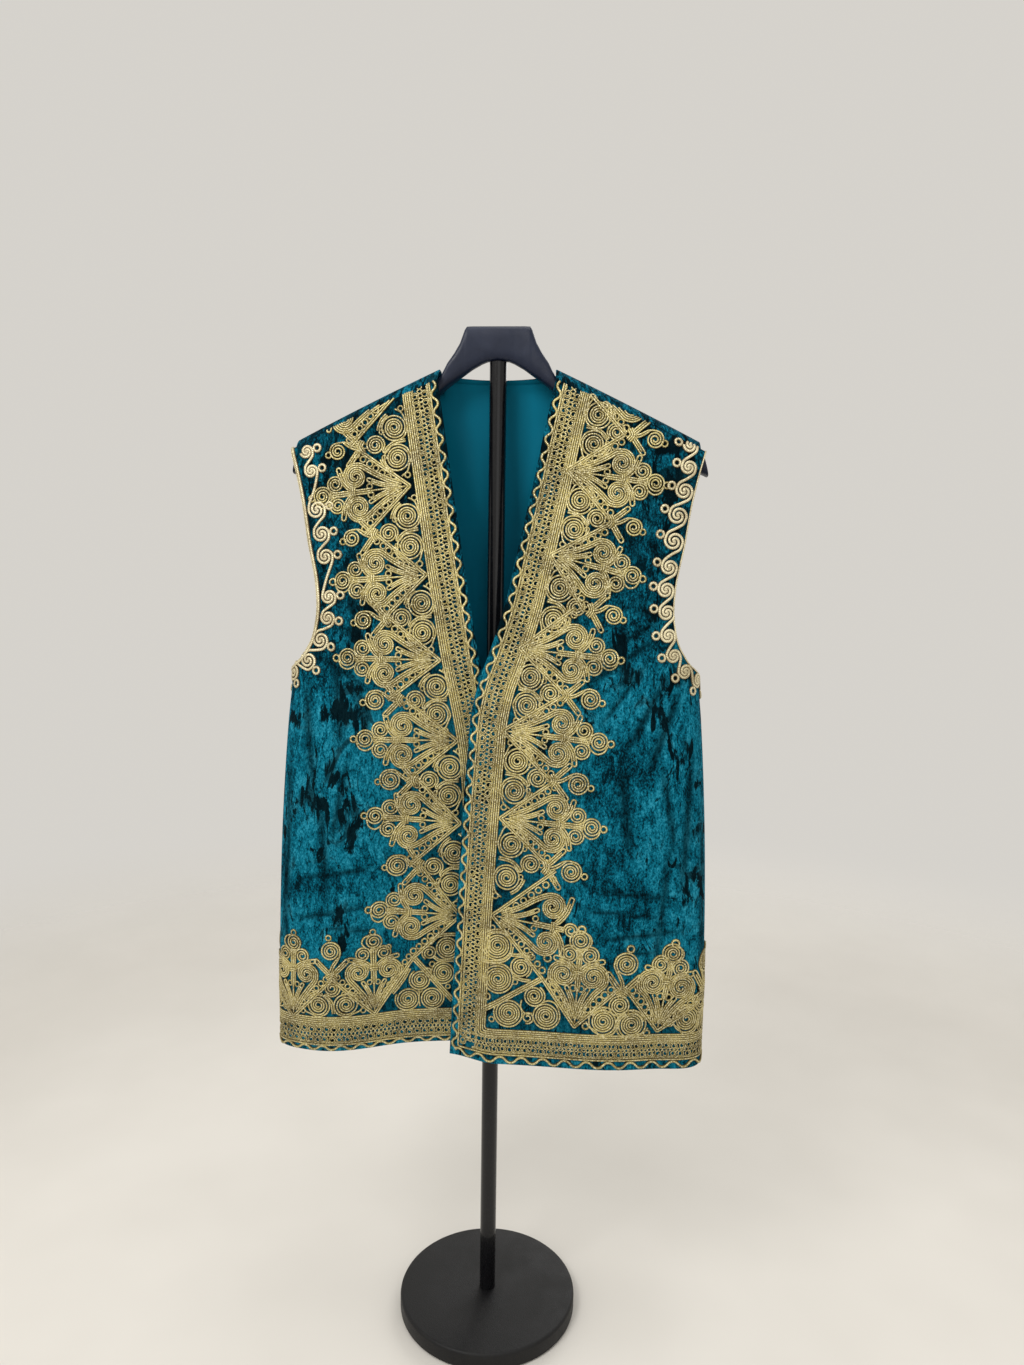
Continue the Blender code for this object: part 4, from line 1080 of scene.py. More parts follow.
class BraidWork:
    """Cords and small rings drawn on one panel's flat drawing. side = -1 mirrors the back's."""

    def __init__(self, panel, side=1):
        self.cloth = CLOTHS[panel]
        self.side = side
        self.cords = []
        self.rings = []

    def inside(self, line, clearance):
        """Which points of a line lie on the panel, at least so far in from its edges."""
        around, z = line[:, 0] * MM, line[:, 1] * MM
        room = clearance * MM
        fits = (z > HEM_Z + room) & (np.abs(around) < self.cloth.armhole_edge(z) - room)
        if self.cloth.panel == "back":
            return fits & (z < self.cloth.below_ridge(around, lambda x: BACK_BRAID_DROP))
        top = self.cloth.below_ridge(around, seam_drop) - SHOULDER_CLEARANCE * MM
        return fits & (around > self.cloth.opening(z) + room) & (z < top)

    def cord(self, line, width=CORD_WIDTH, height=CORD_HEIGHT, lift=CORD_LIFT, clearance=EDGE_CLEARANCE):
        """Lays a cord along a line, where the panel has room for it."""
        line = spaced(np.asarray(line, float), DRAWING_STEP)
        fits = self.inside(line, clearance).astype(int)
        edges = np.diff(np.concatenate([[0], fits, [0]]))
        for a, b in zip(np.flatnonzero(edges == 1), np.flatnonzero(edges == -1)):
            if b - a >= (FEWEST_WHOLE if b - a == len(line) else FEWEST_LEFT):
                self.cords.append((thinned(line[a:b]), width, height, lift))

    def ring(self, centre, radius, turn=0.0):
        """Puts a small ring, its ends towards angle turn, where the panel has room for it."""
        if self.inside(np.array([centre]), radius + EDGE_CLEARANCE)[0]:
            self.rings.append((*centre, radius, turn))

    def worn(self, line):
        """Places of the worn cloth's face, and its outward directions."""
        around, z = line[:, 0] * MM * self.side, line[:, 1] * MM
        return self.cloth.points(around, z), self.cloth.facing(around, z)


def cord_mesh(name, work):
    """One mesh of closed four-sided tubes, narrower on top, along every cord of a piece of work."""
    verts, faces, uvs, count = [], [], [], 0
    for line, width, height, lift in work.cords:
        points, out = work.worn(line)
        ahead = np.gradient(points, axis=0)
        across = np.cross(ahead, out)
        across /= np.maximum(np.linalg.norm(across, axis=1, keepdims=True), 1e-12)
        middle = points + out * lift * MM
        wide, high, top = across * width, out * height, across * width * CORD_TOP
        sides = (wide - high, top + high, high - top, -wide - high)
        n = len(line)
        number = count + np.arange(n * 4).reshape(n, 4)
        verts.append(np.stack([middle + side * MM / 2 for side in sides], axis=1).reshape(-1, 3))
        run = run_of(points) / MM
        for k in range(4):
            low, high = number[:, k], number[:, (k + 1) % 4]
            faces.append(np.stack([low[:-1], low[1:], high[1:], high[:-1]], axis=1))
            u = np.stack([run[:-1], run[1:], run[1:], run[:-1]], axis=1)
            v = np.broadcast_to(np.array(CORD_AROUND)[[k, k, k + 1, k + 1]], u.shape)
            uvs.append(np.stack([u, v], axis=2))
        faces.append(np.stack([number[0], number[-1][::-1]]))
        uvs.append(np.zeros((2, 4, 2)))
        count += n * 4
    mesh = bpy.data.meshes.new(name)
    mesh.from_pydata(np.concatenate(verts).tolist(), [], np.concatenate(faces).tolist())
    mesh.uv_layers.new(name="cord").data.foreach_set("uv", np.concatenate(uvs).astype(np.float32).ravel())
    return mesh


def braid_piece(mesh, finish, node):
    """A finished piece of cords or rings, named as its mesh, which stands for a solid."""
    made = new_piece(mesh.name, mesh, finish, crease=math.pi)
    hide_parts(node)
    return made


# Gold cord: dull and bright tones, and the colour of its painted shade.
GOLD = gold_cord("gold_cord", (0.262, 0.200, 0.052), (0.68, 0.562, 0.190), (0.070, 0.050, 0.014))

# --- Small rings -----------------------------------------------------------------------------
# Hundreds of little rings of the same cord, stitched down in rows: ones of one and a half turns in
# the border's net, single ones along the arms of every motif.

RING_STEPS = 10
# A ring's place around its cord, from its height over the cord's middle, as CORD_AROUND has it.
RING_AROUND_SLOPE = 0.16
RING_AROUND_MIDDLE = 0.09


def ring_tree():
    """Puts a ring of cord, lying on the cloth, at every point of a mesh."""
    tree = bpy.data.node_groups.new("small_rings", "GeometryNodeTree")
    face = tree.interface
    face.new_socket("Places", in_out="INPUT", socket_type="NodeSocketGeometry")
    for name in ("Turns", "Inner Radius", "Outer Radius", "Cord Radius"):
        face.new_socket(name, in_out="INPUT", socket_type="NodeSocketFloat")
    face.new_socket("Finish", in_out="INPUT", socket_type="NodeSocketMaterial")
    face.new_socket("Rings", in_out="OUTPUT", socket_type="NodeSocketGeometry")
    made = {}

    def node(name, kind, settings=None, sockets=None):
        new = tree.nodes.new(kind)
        for key, value in (settings or {}).items():
            setattr(new, key, value)
        for key, value in (sockets or {}).items():
            if isinstance(value, tuple):
                tree.links.new(made[value[0]].outputs[value[1]], new.inputs[key])
            else:
                new.inputs[key].default_value = value
        made[name] = new
        return new

    node("inputs", "NodeGroupInput")
    path = {
        "Resolution": RING_STEPS,
        "Rotations": ("inputs", "Turns"),
        "Start Radius": ("inputs", "Inner Radius"),
        "End Radius": ("inputs", "Outer Radius"),
        "Height": 0.0,
    }
    node("path", "GeometryNodeCurveSpiral", None, path)
    section = {"Resolution": 4, "Radius": ("inputs", "Cord Radius")}
    node("round", "GeometryNodeCurvePrimitiveCircle", None, section)
    node("run", "GeometryNodeSplineParameter")
    keep_run = node("keep_run", "GeometryNodeCaptureAttribute", None, {0: ("path", 0)})
    keep_run.capture_items.new("FLOAT", "Run")
    tree.links.new(made["run"].outputs["Length"], made["keep_run"].inputs["Run"])
    tube = {"Curve": ("keep_run", 0), "Profile Curve": ("round", 0), "Fill Caps": True}
    node("tube", "GeometryNodeCurveToMesh", None, tube)
    node("in_mm", "ShaderNodeMath", {"operation": "MULTIPLY"}, {0: ("keep_run", 1), 1: 1 / MM})
    node("place", "GeometryNodeInputPosition")
    node("height", "ShaderNodeSeparateXYZ", None, {0: ("place", 0)})
    node("share", "ShaderNodeMath", {"operation": "DIVIDE"}, {0: ("height", 2), 1: ("inputs", "Cord Radius")})
    spread = {0: ("share", 0), 1: RING_AROUND_SLOPE, 2: RING_AROUND_MIDDLE}
    node("around", "ShaderNodeMath", {"operation": "MULTIPLY_ADD"}, spread)
    node("drawn", "ShaderNodeCombineXYZ", None, {0: ("in_mm", 0), 1: ("around", 0)})
    stored = {"Name": "cord", "Value": ("drawn", 0), "Geometry": ("tube", 0)}
    corners = {"data_type": "FLOAT2", "domain": "CORNER"}
    node("store", "GeometryNodeStoreNamedAttribute", corners, stored)
    node("turn", "GeometryNodeInputNamedAttribute", {"data_type": "FLOAT_VECTOR"}, {"Name": "turn"})
    node("turned", "FunctionNodeEulerToRotation", None, {0: ("turn", 0)})
    node("size", "GeometryNodeInputNamedAttribute", {"data_type": "FLOAT"}, {"Name": "size"})
    placed = {
        "Points": ("inputs", "Places"),
        "Instance": ("store", 0),
        "Rotation": ("turned", 0),
        "Scale": ("size", 0),
    }
    node("put", "GeometryNodeInstanceOnPoints", None, placed)
    node("real", "GeometryNodeRealizeInstances", None, {0: ("put", 0)})
    finish = {"Geometry": ("real", 0), "Material": ("inputs", "Finish")}
    node("finish", "GeometryNodeSetMaterial", None, finish)
    node("outputs", "NodeGroupOutput", None, {0: ("finish", 0)})
    return tree


RING_TREE = ring_tree()


def ring_mesh(name, work, finish, radius, turns=1.0, inner=None, cord_radius=CORD_WIDTH / 2):
    """The rings of a piece of work as one plain mesh. Radii are in millimetres."""
    rings = np.array(work.rings)
    tip = np.stack([np.cos(rings[:, 3]), np.sin(rings[:, 3])], axis=1)
    points, out = work.worn(rings[:, :2])
    ends, _ = work.worn(rings[:, :2] + tip)
    turned = []
    for normal, run in zip(out, ends - points):
        normal = Vector(normal)
        side = normal.cross(Vector(run)).normalized()
        turned.append(Matrix((side.cross(normal), side, normal)).transposed().to_euler()[:])
    places = bpy.data.meshes.new(name + "_places")
    places.from_pydata((points + out * CORD_LIFT * MM).tolist(), [], [])
    store = places.attributes.new("turn", "FLOAT_VECTOR", "POINT")
    store.data.foreach_set("vector", np.array(turned, np.float32).ravel())
    store = places.attributes.new("size", "FLOAT", "POINT")
    store.data.foreach_set("value", (rings[:, 2] / radius).astype(np.float32))
    holder = bpy.data.objects.new(name + "_places", places)
    bpy.context.scene.collection.objects.link(holder)
    maker = holder.modifiers.new("rings", "NODES")
    maker.node_group = RING_TREE
    values = {
        "Turns": turns,
        "Inner Radius": (radius if inner is None else inner) * MM,
        "Outer Radius": radius * MM,
        "Cord Radius": cord_radius * MM,
        "Finish": finish,
    }
    for item in RING_TREE.interface.items_tree:
        if item.name in values:
            maker[item.identifier] = values[item.name]
    mesh = bpy.data.meshes.new_from_object(holder.evaluated_get(bpy.context.evaluated_depsgraph_get()))
    mesh.name = name
    holder.modifiers.remove(maker)
    bpy.data.objects.remove(holder)
    mesh.materials.clear()
    return mesh


# --- Border ----------------------------------------------------------------------------------
# A band along the opening, round the lower corner and along the hem: a waved cord near the edge,
# a straight one, a net of small rings over fine woven cords, then four straight cords side by side.

BAND = 38.6
# The waved cord: width, height and lift.
WAVE_CORD = (3.1, 2.3, 0.8)
FRONT_WAVE = {"middle": 5.6, "reach": 2.7, "repeat": 18.4}
HEM_WAVE = {
    "left": {"middle": 6.0, "reach": 3.1, "repeat": 22.6},
    "right": {"middle": 4.4, "reach": 2.2, "repeat": 19.6},
}
HEM_WAVE_START = 0.6
# How far a wave's flanks lean in, which rounds its bends: a share of its repeat.
ROUNDING = 0.020
FRONT_STRAIGHT = (9.3, 30.9, 33.1, 35.3, 37.5)
HEM_STRAIGHT = {"left": (11.1, 31.2, 33.4, 35.6, 37.8), "right": (7.6, 31.2, 33.4, 35.6, 37.8)}
# Rows of the nets: distance in from the edge, ring radius, and share of a repeat it starts at.
FRONT_NET = ((14.8, 4.3, 0.0), (25.3, 4.3, 0.42))
HEM_NET = {"left": ((16.9, 4.1, 0.0), (25.8, 4.0, 0.45)), "right": ((13.3, 4.2, 0.0), (24.6, 4.4, 0.45))}
FRONT_NET_REPEAT = 8.8
HEM_NET_REPEAT = 8.0
# The net's standard ring: outer and inner radius, turns, and its cord's own radius.
NET_RADIUS = 4.2
NET_HEART = 1.55
NET_TURNS = 1.55
NET_CORD = 0.80
# How unevenly the rings are sewn: their places, sizes, and where their ends point.
NET_STRAY = 0.45
NET_SIZES = (0.93, 1.08)
NET_TAIL = 0.9
NET_TAIL_STRAY = 0.7
NET_SEAM_GAP = 0.5
RING_RADIUS = 3.0
# The finer cord woven behind the rings: width, height and lift.
WEAVE_CORD = (1.7, 1.0, 0.1)
# Pairs of cords woven between the rows: distance in from the edge, and how far they swing.
FRONT_WEAVE = ((20.05, 2.6), (11.8, 0.9), (28.4, 0.9))
HEM_WEAVE = {
    "left": ((21.4, 2.0), (28.8, 0.9), (13.6, 0.8)),
    "right": ((18.9, 2.4), (28.6, 0.9), (10.0, 0.8)),
}
# The back's hem has the left front's border.
for table in (HEM_WAVE, HEM_STRAIGHT, HEM_NET, HEM_WEAVE):
    table["back"] = table["left"]
CORNER_TURN = 2.5
CORNER_ROUND = 0.7
# At the corner the hem's waved cord starts a little past the opening's. The woven cords and the
# net's rows run past each other.
WAVE_APART = 1
WEAVE_LAP = 4
NET_LAP = 2
HEM_MM = HEM_Z / MM
# Lines along the opening are drawn from above the shoulder seam to below the hem, then cut off.
DRAWN_TOP = 1045.0
DRAWN_PAST_HEM = 30
rng = np.random.default_rng(11)


def smooth_line(controls, steps=10):
    """A smooth open line through its control points."""
    p = np.asarray(controls, float)
    p = np.concatenate([[2 * p[0] - p[1]], p, [2 * p[-1] - p[-2]]])
    t = np.linspace(0, 1, steps, endpoint=False)[:, None]
    found = []
    for a, b, c, d in zip(p, p[1:], p[2:], p[3:]):
        bend = (2 * a - 5 * b + 4 * c - d) * t * t + (3 * b - a - 3 * c + d) * t**3
        found.append(b + 0.5 * ((c - a) * t + bend))
    return np.concatenate(found + [p[-2:-1]])


def left_of(line):
    """Unit vectors to the left of a line, at its points."""
    ahead = np.gradient(line, axis=0)
    ahead /= np.maximum(np.linalg.norm(ahead, axis=1, keepdims=True), 1e-9)
    return np.stack([-ahead[:, 1], ahead[:, 0]], axis=1)


def beside(line, distance):
    """A line at a distance to the left of another."""
    return line + distance * left_of(line)


def opening_line(work, inset, end=-math.inf):
    """The line at a distance in from the opening's edge, from the neck to so far above the hem."""
    z = np.linspace(DRAWN_TOP, HEM_MM - DRAWN_PAST_HEM, 900)
    line = beside(np.stack([work.cloth.opening(z * MM) / MM, z], axis=1), inset)
    return line[line[:, 1] > HEM_MM + end]


def hem_line(work, inset, start=0.0):
    """A level line at a distance up from the hem, as far as the side seam."""
    side = work.cloth.side_line(HEM_Z) / MM
    return np.stack([np.linspace(start, side, 200), np.full(200, HEM_MM + inset)], axis=1)


def corner_line(work, inset, hem_inset):
    """A border line down the opening and round the lower corner to the side seam."""
    down = opening_line(work, inset, hem_inset + CORNER_TURN)
    level = hem_line(work, hem_inset, down[-1, 0] + CORNER_TURN)
    last, first, more, less = down[-1], level[0], CORNER_ROUND, 1 - CORNER_ROUND
    near = (last[0] * more + first[0] * less, first[1] * more + last[1] * less)
    return np.concatenate([down[:-1], smooth_line([last, near, first], 4), level[1:]])


def waved(line, wave, phase=0.0):
    """A line swung from side to side in soft even waves."""
    line = spaced(line, DRAWING_STEP)
    turn = 2 * math.pi * run_of(line) / wave["repeat"] + phase
    left = left_of(line)
    ahead = np.stack([left[:, 1], -left[:, 0]], axis=1)
    swing, lag = wave["reach"] * np.sin(turn), ROUNDING * wave["repeat"] * np.sin(2 * turn)
    return line + swing[:, None] * left - lag[:, None] * ahead


def net_row(work, line, repeat, radius, phase, to_seam=False):
    """One row of the net's rings along a line, which may end right at a seam."""
    run = run_of(line)
    places = np.arange(repeat * (0.5 + phase), run[-1], repeat)
    if to_seam:
        room = radius * NET_SIZES[1] + EDGE_CLEARANCE + NET_SEAM_GAP
        first = room if work.cloth.panel == "back" else places[0]
        places = np.linspace(first, run[-1] - room, round((run[-1] - room - first) / repeat - phase) + 1)
    for at in places:
        centre = [np.interp(at, run, line[:, k]) + rng.uniform(-NET_STRAY, NET_STRAY) for k in (0, 1)]
        size = radius * rng.uniform(*NET_SIZES)
        work.ring(centre, size, NET_TAIL + rng.uniform(-NET_TAIL_STRAY, NET_TAIL_STRAY))


def border(work):
    """The whole border of one front. Returns its net, which is a piece of work of its own."""
    panel = work.cloth.panel
    net, wave = BraidWork(panel), HEM_WAVE[panel]
    down = opening_line(work, FRONT_WAVE["middle"], wave["middle"])
    work.cord(waved(down, FRONT_WAVE), *WAVE_CORD)
    level = hem_line(work, wave["middle"], down[-1, 0] + WAVE_APART)
    work.cord(waved(level, wave, HEM_WAVE_START), *WAVE_CORD)
    for inset, hem_inset in zip(FRONT_STRAIGHT, HEM_STRAIGHT[panel]):
        work.cord(corner_line(work, inset, hem_inset), clearance=SEAM_CLEARANCE)
    for (inset, swing), (hem_inset, hem_swing) in zip(FRONT_WEAVE, HEM_WEAVE[panel]):
        for phase in (0.0, math.pi):
            line = opening_line(work, inset, hem_inset)
            work.cord(waved(line, {"reach": swing, "repeat": FRONT_NET_REPEAT}, phase), *WEAVE_CORD)
            line = hem_line(work, hem_inset, line[-1, 0] - WEAVE_LAP)
            work.cord(waved(line, {"reach": hem_swing, "repeat": HEM_NET_REPEAT}, phase), *WEAVE_CORD)
    inner = opening_line(work, FRONT_STRAIGHT[1])[::-1]
    for (inset, radius, phase), (hem_inset, hem_radius, hem_phase) in zip(FRONT_NET, HEM_NET[panel]):
        line = opening_line(work, inset, hem_inset - NET_LAP)
        net_row(net, line, FRONT_NET_REPEAT, radius, phase)
        start = np.interp(HEM_MM + hem_inset, inner[:, 1], inner[:, 0])
        line = hem_line(work, hem_inset, start - NET_LAP)
        net_row(net, line, HEM_NET_REPEAT, hem_radius, hem_phase, to_seam=True)
    return net


# --- Motifs ----------------------------------------------------------------------------------
# A row of palmettes stands on the border, each in a V of two cords: a stem, fan leaves, two big
# coils, two fingers and a trefoil of coils with a drop at its tip. Between them lie coils and a
# smaller sprig. Sizes are in millimetres of the standard motif.

REACH = 118.6
HALF_WIDTH = 43.5
CROSSING = 56.0
SPRIG_REACH = 98.6
# How unevenly rings and coils are sewn: the rings' places, and the sizes of both.
MOTIF_STRAY = 0.3
RING_SIZES = (0.95, 1.05)
COIL_SIZES = (0.97, 1.03)
# Cords side by side lie this far apart, and a coil's heart stays this far open.
CORD_PITCH = 2.15
COIL_HEART = 1.8
# A coil comes in to its own radius over this share of a turn. Its crescent opens over as much,
# after the first turn.
COIL_ENTRY = 0.45
COIL_STEPS = 26
# How far the turns of a coil of one cord lie apart, beyond the cord's own pitch.
COIL_GAP = 0.32
# A finger's sides start a share of its width apart and soon reach the whole. Its round end turns
# so far to each side. The cord in its middle stops short of the end and lies a little higher.
FINGER_SPREAD = (0.35, 3.35)
FINGER_TURN = 1.3
FINGER_MIDDLE = 0.93
FINGER_RISE = 0.15
# The rings inside a motif's arm: where the first lies along it, how far apart and how far in they
# lie, their radius, and how much of the arm's end stays bare.
ARM_FIRST = 16.5
ARM_REPEAT = 8.4
ARM_INSET = 5.2
ARM_RING = 3.1
ARM_BARE = 20
# An arm's line runs through these shares of its length, which rounds the V's point.
ARM_SHARES = (1.0, 0.53, 0.18, 0.055)


class Drawing:
    """A motif's own axes on the flat panel: u out from the border, v to its left.

    along gives pairs of (u in the standard motif, u here), widen the scales of v to left and right,
    and size the scale of its coils, rings and fingers.
    """

    def __init__(self, work, origin, ahead, along, widen=(1.0, 1.0), size=1.0):
        self.work = work
        self.origin = np.array(origin, float)
        self.u = np.array(ahead, float) / np.linalg.norm(ahead)
        self.v = np.array([-self.u[1], self.u[0]])
        self.along, self.widen, self.size = np.array(along, float), widen, size
        self.angle = math.atan2(self.u[1], self.u[0])

    def at(self, places):
        """Places of the standard motif, as (u, v), on the flat panel."""
        places = np.atleast_2d(np.asarray(places, float))
        out = np.interp(places[:, 0], *self.along.T)
        across = places[:, 1] * np.where(places[:, 1] > 0, *self.widen)
        return self.origin + out[:, None] * self.u + across[:, None] * self.v

    def line(self, controls, count=1, **kinds):
        """One or more cords side by side along a smooth line."""
        path = smooth_line(self.at(controls))
        for k in range(count):
            self.work.cord(beside(path, (k - (count - 1) / 2) * CORD_PITCH), **kinds)

    def ring(self, u, v, radius):
        """A small ring, sewn a little unevenly."""
        centre = self.at((u, v))[0] + rng.uniform(-MOTIF_STRAY, MOTIF_STRAY, 2)
        size = radius * self.size * rng.uniform(*RING_SIZES)
        self.work.ring(centre, size, rng.uniform(0, 2 * math.pi))

    def coil(self, u, v, radius, start, hand, lead=(), cords=1, gap=COIL_GAP, crescent=0.0):
        """Cords side by side, wound inwards from angle start, with a gap between their turns."""
        radius *= self.size * rng.uniform(*COIL_SIZES)
        centre = self.at((u, v))[0]
        repeat = cords * CORD_PITCH + gap

        def wound(outer):
            turns = (outer - crescent - COIL_HEART) / repeat + COIL_ENTRY
            t = np.linspace(0, turns, int(COIL_STEPS * turns) + 8)
            reach = outer + repeat * (COIL_ENTRY - t) - crescent * ease((t - 1.0) / COIL_ENTRY)
            angle = self.angle + math.radians(start) + hand * 2 * math.pi * t
            return centre + reach[:, None] * np.stack([np.cos(angle), np.sin(angle)], axis=1)

        for k in range(cords):
            line = wound(radius - (k + 0.5) * CORD_PITCH)
            if len(lead):
                middle = wound(radius - cords * CORD_PITCH / 2)
                path = smooth_line(np.concatenate([self.at(lead), middle[:4:3]]))
                path = beside(path, hand * (k - (cords - 1) / 2) * CORD_PITCH)
                line = np.concatenate([path[:-1], line[3:]])
            self.work.cord(line)

    def finger(self, controls, width):
        """A narrow loop with a round end, along a line."""
        path = smooth_line(self.at(controls))
        half = (width - CORD_WIDTH) / 2 * self.size
        spread = ease(np.linspace(*FINGER_SPREAD, len(path)))[:, None] * half * left_of(path)
        tip = math.atan2(*(path[-1] - path[-2])[::-1]) + np.linspace(FINGER_TURN, -FINGER_TURN, 7)
        bow = path[-1] + half * np.stack([np.cos(tip), np.sin(tip)], axis=1)
        self.work.cord(np.concatenate([path + spread, bow, (path - spread)[::-1]]))
        self.work.cord(path[: int(len(path) * FINGER_MIDDLE)], lift=CORD_LIFT + FINGER_RISE)


def arm_rings(draw, end, side):
    """The rings along the inside of one arm of a motif's V, from its point to the arm's end."""
    length = np.linalg.norm(end)
    inner = np.array([end[1], -end[0]]) / length * side
    for k in range(int((length - ARM_BARE) / ARM_REPEAT) + 1):
        draw.ring(*(end / length * (ARM_FIRST + ARM_REPEAT * k) + inner * ARM_INSET), ARM_RING)


def palmette(draw, ends, whole=True):
    """One palmette in its V, whose arms run to the two ends. whole gives it its trefoil."""
    left, right = (np.array(end, float) for end in ends)
    path = [left * share for share in ARM_SHARES] + [(0.4, 0)]
    path += [right * share for share in ARM_SHARES[::-1]]
    draw.line(path, 2, lift=0.8)
    arm_rings(draw, left, 1)
    arm_rings(draw, right, -1)
    for side in (1, -1):
        lead = [(9, side * 2.8), (16, side * 5.4), (28, side * 10.6), (42, side * 18.6)]
        draw.coil(60.6, side * 15.4, 12.8, side * 122, -side, lead, cords=3, gap=0.2, crescent=0.4)
        draw.finger([(13, side * 1.0), (25, side * 3.0), (36, side * 6.4), (46, side * 10.8)], 6.0)
        draw.finger([(66, side * 2.5), (71.5, side * 7), (76.5, side * 14), (79.4, side * 24)], 6.8)
        draw.ring(45.4, side * 4.2, 2.9)
        if whole:
            lead = [(68, side * 1.2), (77, side * 2.4)]
            draw.coil(85.0, side * 10.6, 9.0, -side * 90, side, lead, crescent=0.4)
    draw.line([(5, 0), (13, 0), (30, 0), (46, 0)])
    end = 93 if whole else 77
    draw.line([(44, 0), (60, 0), (end, 0)], 3)
    draw.line([(64.0, -4.4), (64.8, 0), (64.0, 4.4)], 2, lift=1.3)
    if whole:
        draw.coil(102, 0.4, 10.0, 195, -1, [(88, 1.0)], crescent=0.5)
        draw.line([(91, -3.0), (94.2, -7.8), (101, -11.4), (108.4, -9.0), (111.6, -2.8)])
        draw.ring(114.8, 0, 3.3)
    else:
        draw.coil(84, 0.4, 8.0, 195, -1, [(74, 1.0)], crescent=0.4)


def valley(draw, sprig=1.0):
    """What lies between two palmettes: coils against the border, then a small sprig."""
    for side in (1, -1):
        draw.ring(4.8, side * 32.5, 2.8)
        lead = [(11.5, side * 33), (4.6, side * 29), (1.4, side * 22)]
        draw.coil(14.4, side * 15.0, 14.3, 180, side, lead, crescent=1.0)
        draw.line([(21, side * 28.4), (27, side * 24.4), (31, side * 19), (33, side * 14)], 2)
        draw.ring(29.4, side * 12.6, 2.4)
        draw.finger([(56, side * 1.5), (63, side * 8.5), (71, side * 16.5)], 6.8)
    draw.line([(3, 1.6), (16, 0.4), (25, -4.4), (27.0, -8)], 2)
    draw.coil(38.0, 0.2, 10.2, 225, -1, [(20, -2), (26, -8)], crescent=0.4)
    draw.ring(49.8, 0.4, 2.4)
    draw.line([(52, -6), (55.8, 0), (52, 6)], 3, lift=1.2)
    draw.line([(58, -2.4), (65, -0.2), (71, 3.6), (75, 7.4)])
    draw.coil(82.0, -1, 11.2 * sprig, 105, -1, [(58, 0), (65, 2.4), (72, 6.8)], crescent=0.6)
    draw.ring(81.0 + 15.4 * sprig, -3.4, 3.0)


# Points and tips of the palmettes down each front, as (x, height) of the worn cloth.
POINTS = {
    "left": [(74, 946), (59, 860), (30, 765), (14, 681), (13, 591), (6, 489)],
    "right": [(87, 929), (68, 838), (53, 751), (35, 666), (32, 576), (32, 472)],
}
TIPS = {
    "left": [(179, 931), (156, 836), (136, 754), (128, 669), (122, 582), (121, 470)],
    "right": [(194, 915), (170, 829), (165, 751), (146, 667), (135, 586), (131, 483)],
}
# The same along the hem, on the flat drawing, with where the corner's arms cross.
HEM_POINTS = {
    "left": [(93, 374.5), (179, 370), (266, 369)],
    "right": [(122, 366), (208.5, 363.5), (295, 363)],
}
HEM_TIPS = {
    "left": [(99, 481), (196.5, 466), (286, 464)],
    "right": [(123.5, 461), (208.5, 459), (295, 458)],
}
CROSSINGS = {"left": (59, 424), "right": (82, 426)}
# How far out from the hem's points their arms cross, and the size of the coils there.
HEM_CROSSING = 45.0
HEM_COILS = {"left": 1.22, "right": 0.98}
HEM_PALMETTE_SIZE = 0.92
HEM_SPRIG_SIZE = 0.95
HEM_SPRIG_RISE = 1.5
HEM_SPRIG_REACH = 0.92
HEM_SPRIG_WIDEN = 0.98
# How far down between two palmettes of a front their arms cross, and how big the sprig there is.
CROSS_SHARES = {"left": (0.5, 0.5, 0.5, 0.5, 0.42), "right": (0.5, 0.5, 0.5, 0.5, 0.5)}
SPRIGS = (0.80, 0.84, 0.94, 1.0, 1.04)
# Of each front's motifs: how far up the first one's upper arm goes, how far down the last one's
# lower arm, where on the standard motif the arms end, and how far past the corner's crossing the
# arms run that meet there.
FIRST_UP = 45.0
LAST_DOWN = 48.0
ARM_OUT = 57
PAST_CROSSING = 1.03
PAST_HEM_CROSSING = 1.04
# One more motif stands over the first and shows only below the shoulder seam. Its place goes by
# shares of the step between the first two.
OVER_FIRST = (0.95, 1.0)
# Coils between the corner's crossing and the corner of the border: place, radius, angle, hand.
# The sewn coils are all larger by the same share. Rings are given by place and radius.
CORNER_COIL_SIZE = 1.10
CORNER_COILS = {
    "left": [
        (12.0, 457.0, 14.0, 200, 1),
        (13.0, 421.5, 14.8, 120, -1),
        (36.5, 435.0, 10.8, 300, 1),
        (51.0, 404.5, 10.4, 60, -1),
        (24.5, 385.0, 14.6, 150, 1),
        (63.5, 384.0, 13.6, 30, -1),
        (44.5, 381.0, 6.0, 250, 1),
    ],
    "right": [
        (45.5, 436.0, 12.0, 190, 1),
        (65.0, 430.5, 7.6, 300, 1),
        (50.0, 407.5, 12.2, 100, -1),
        (75.0, 400.0, 10.6, 60, -1),
        (88.0, 379.0, 12.4, 30, -1),
        (62.0, 379.0, 11.6, 150, 1),
    ],
}
CORNER_RINGS = {
    "left": [
        (2.2, 401.5, 3.4),
        (6.6, 377.5, 2.8),
        (7.0, 476, 2.6),
        (64, 446, 3.6),
        (46.5, 448.5, 2.8),
        (31, 419, 2.6),
    ],
    "right": [
        (62, 445.5, 2.6),
        (62, 417.5, 2.8),
        (107.5, 440, 2.6),
        (75, 387.5, 2.2),
        (45, 391.5, 2.4),
        (36.5, 421, 2.4),
    ],
}
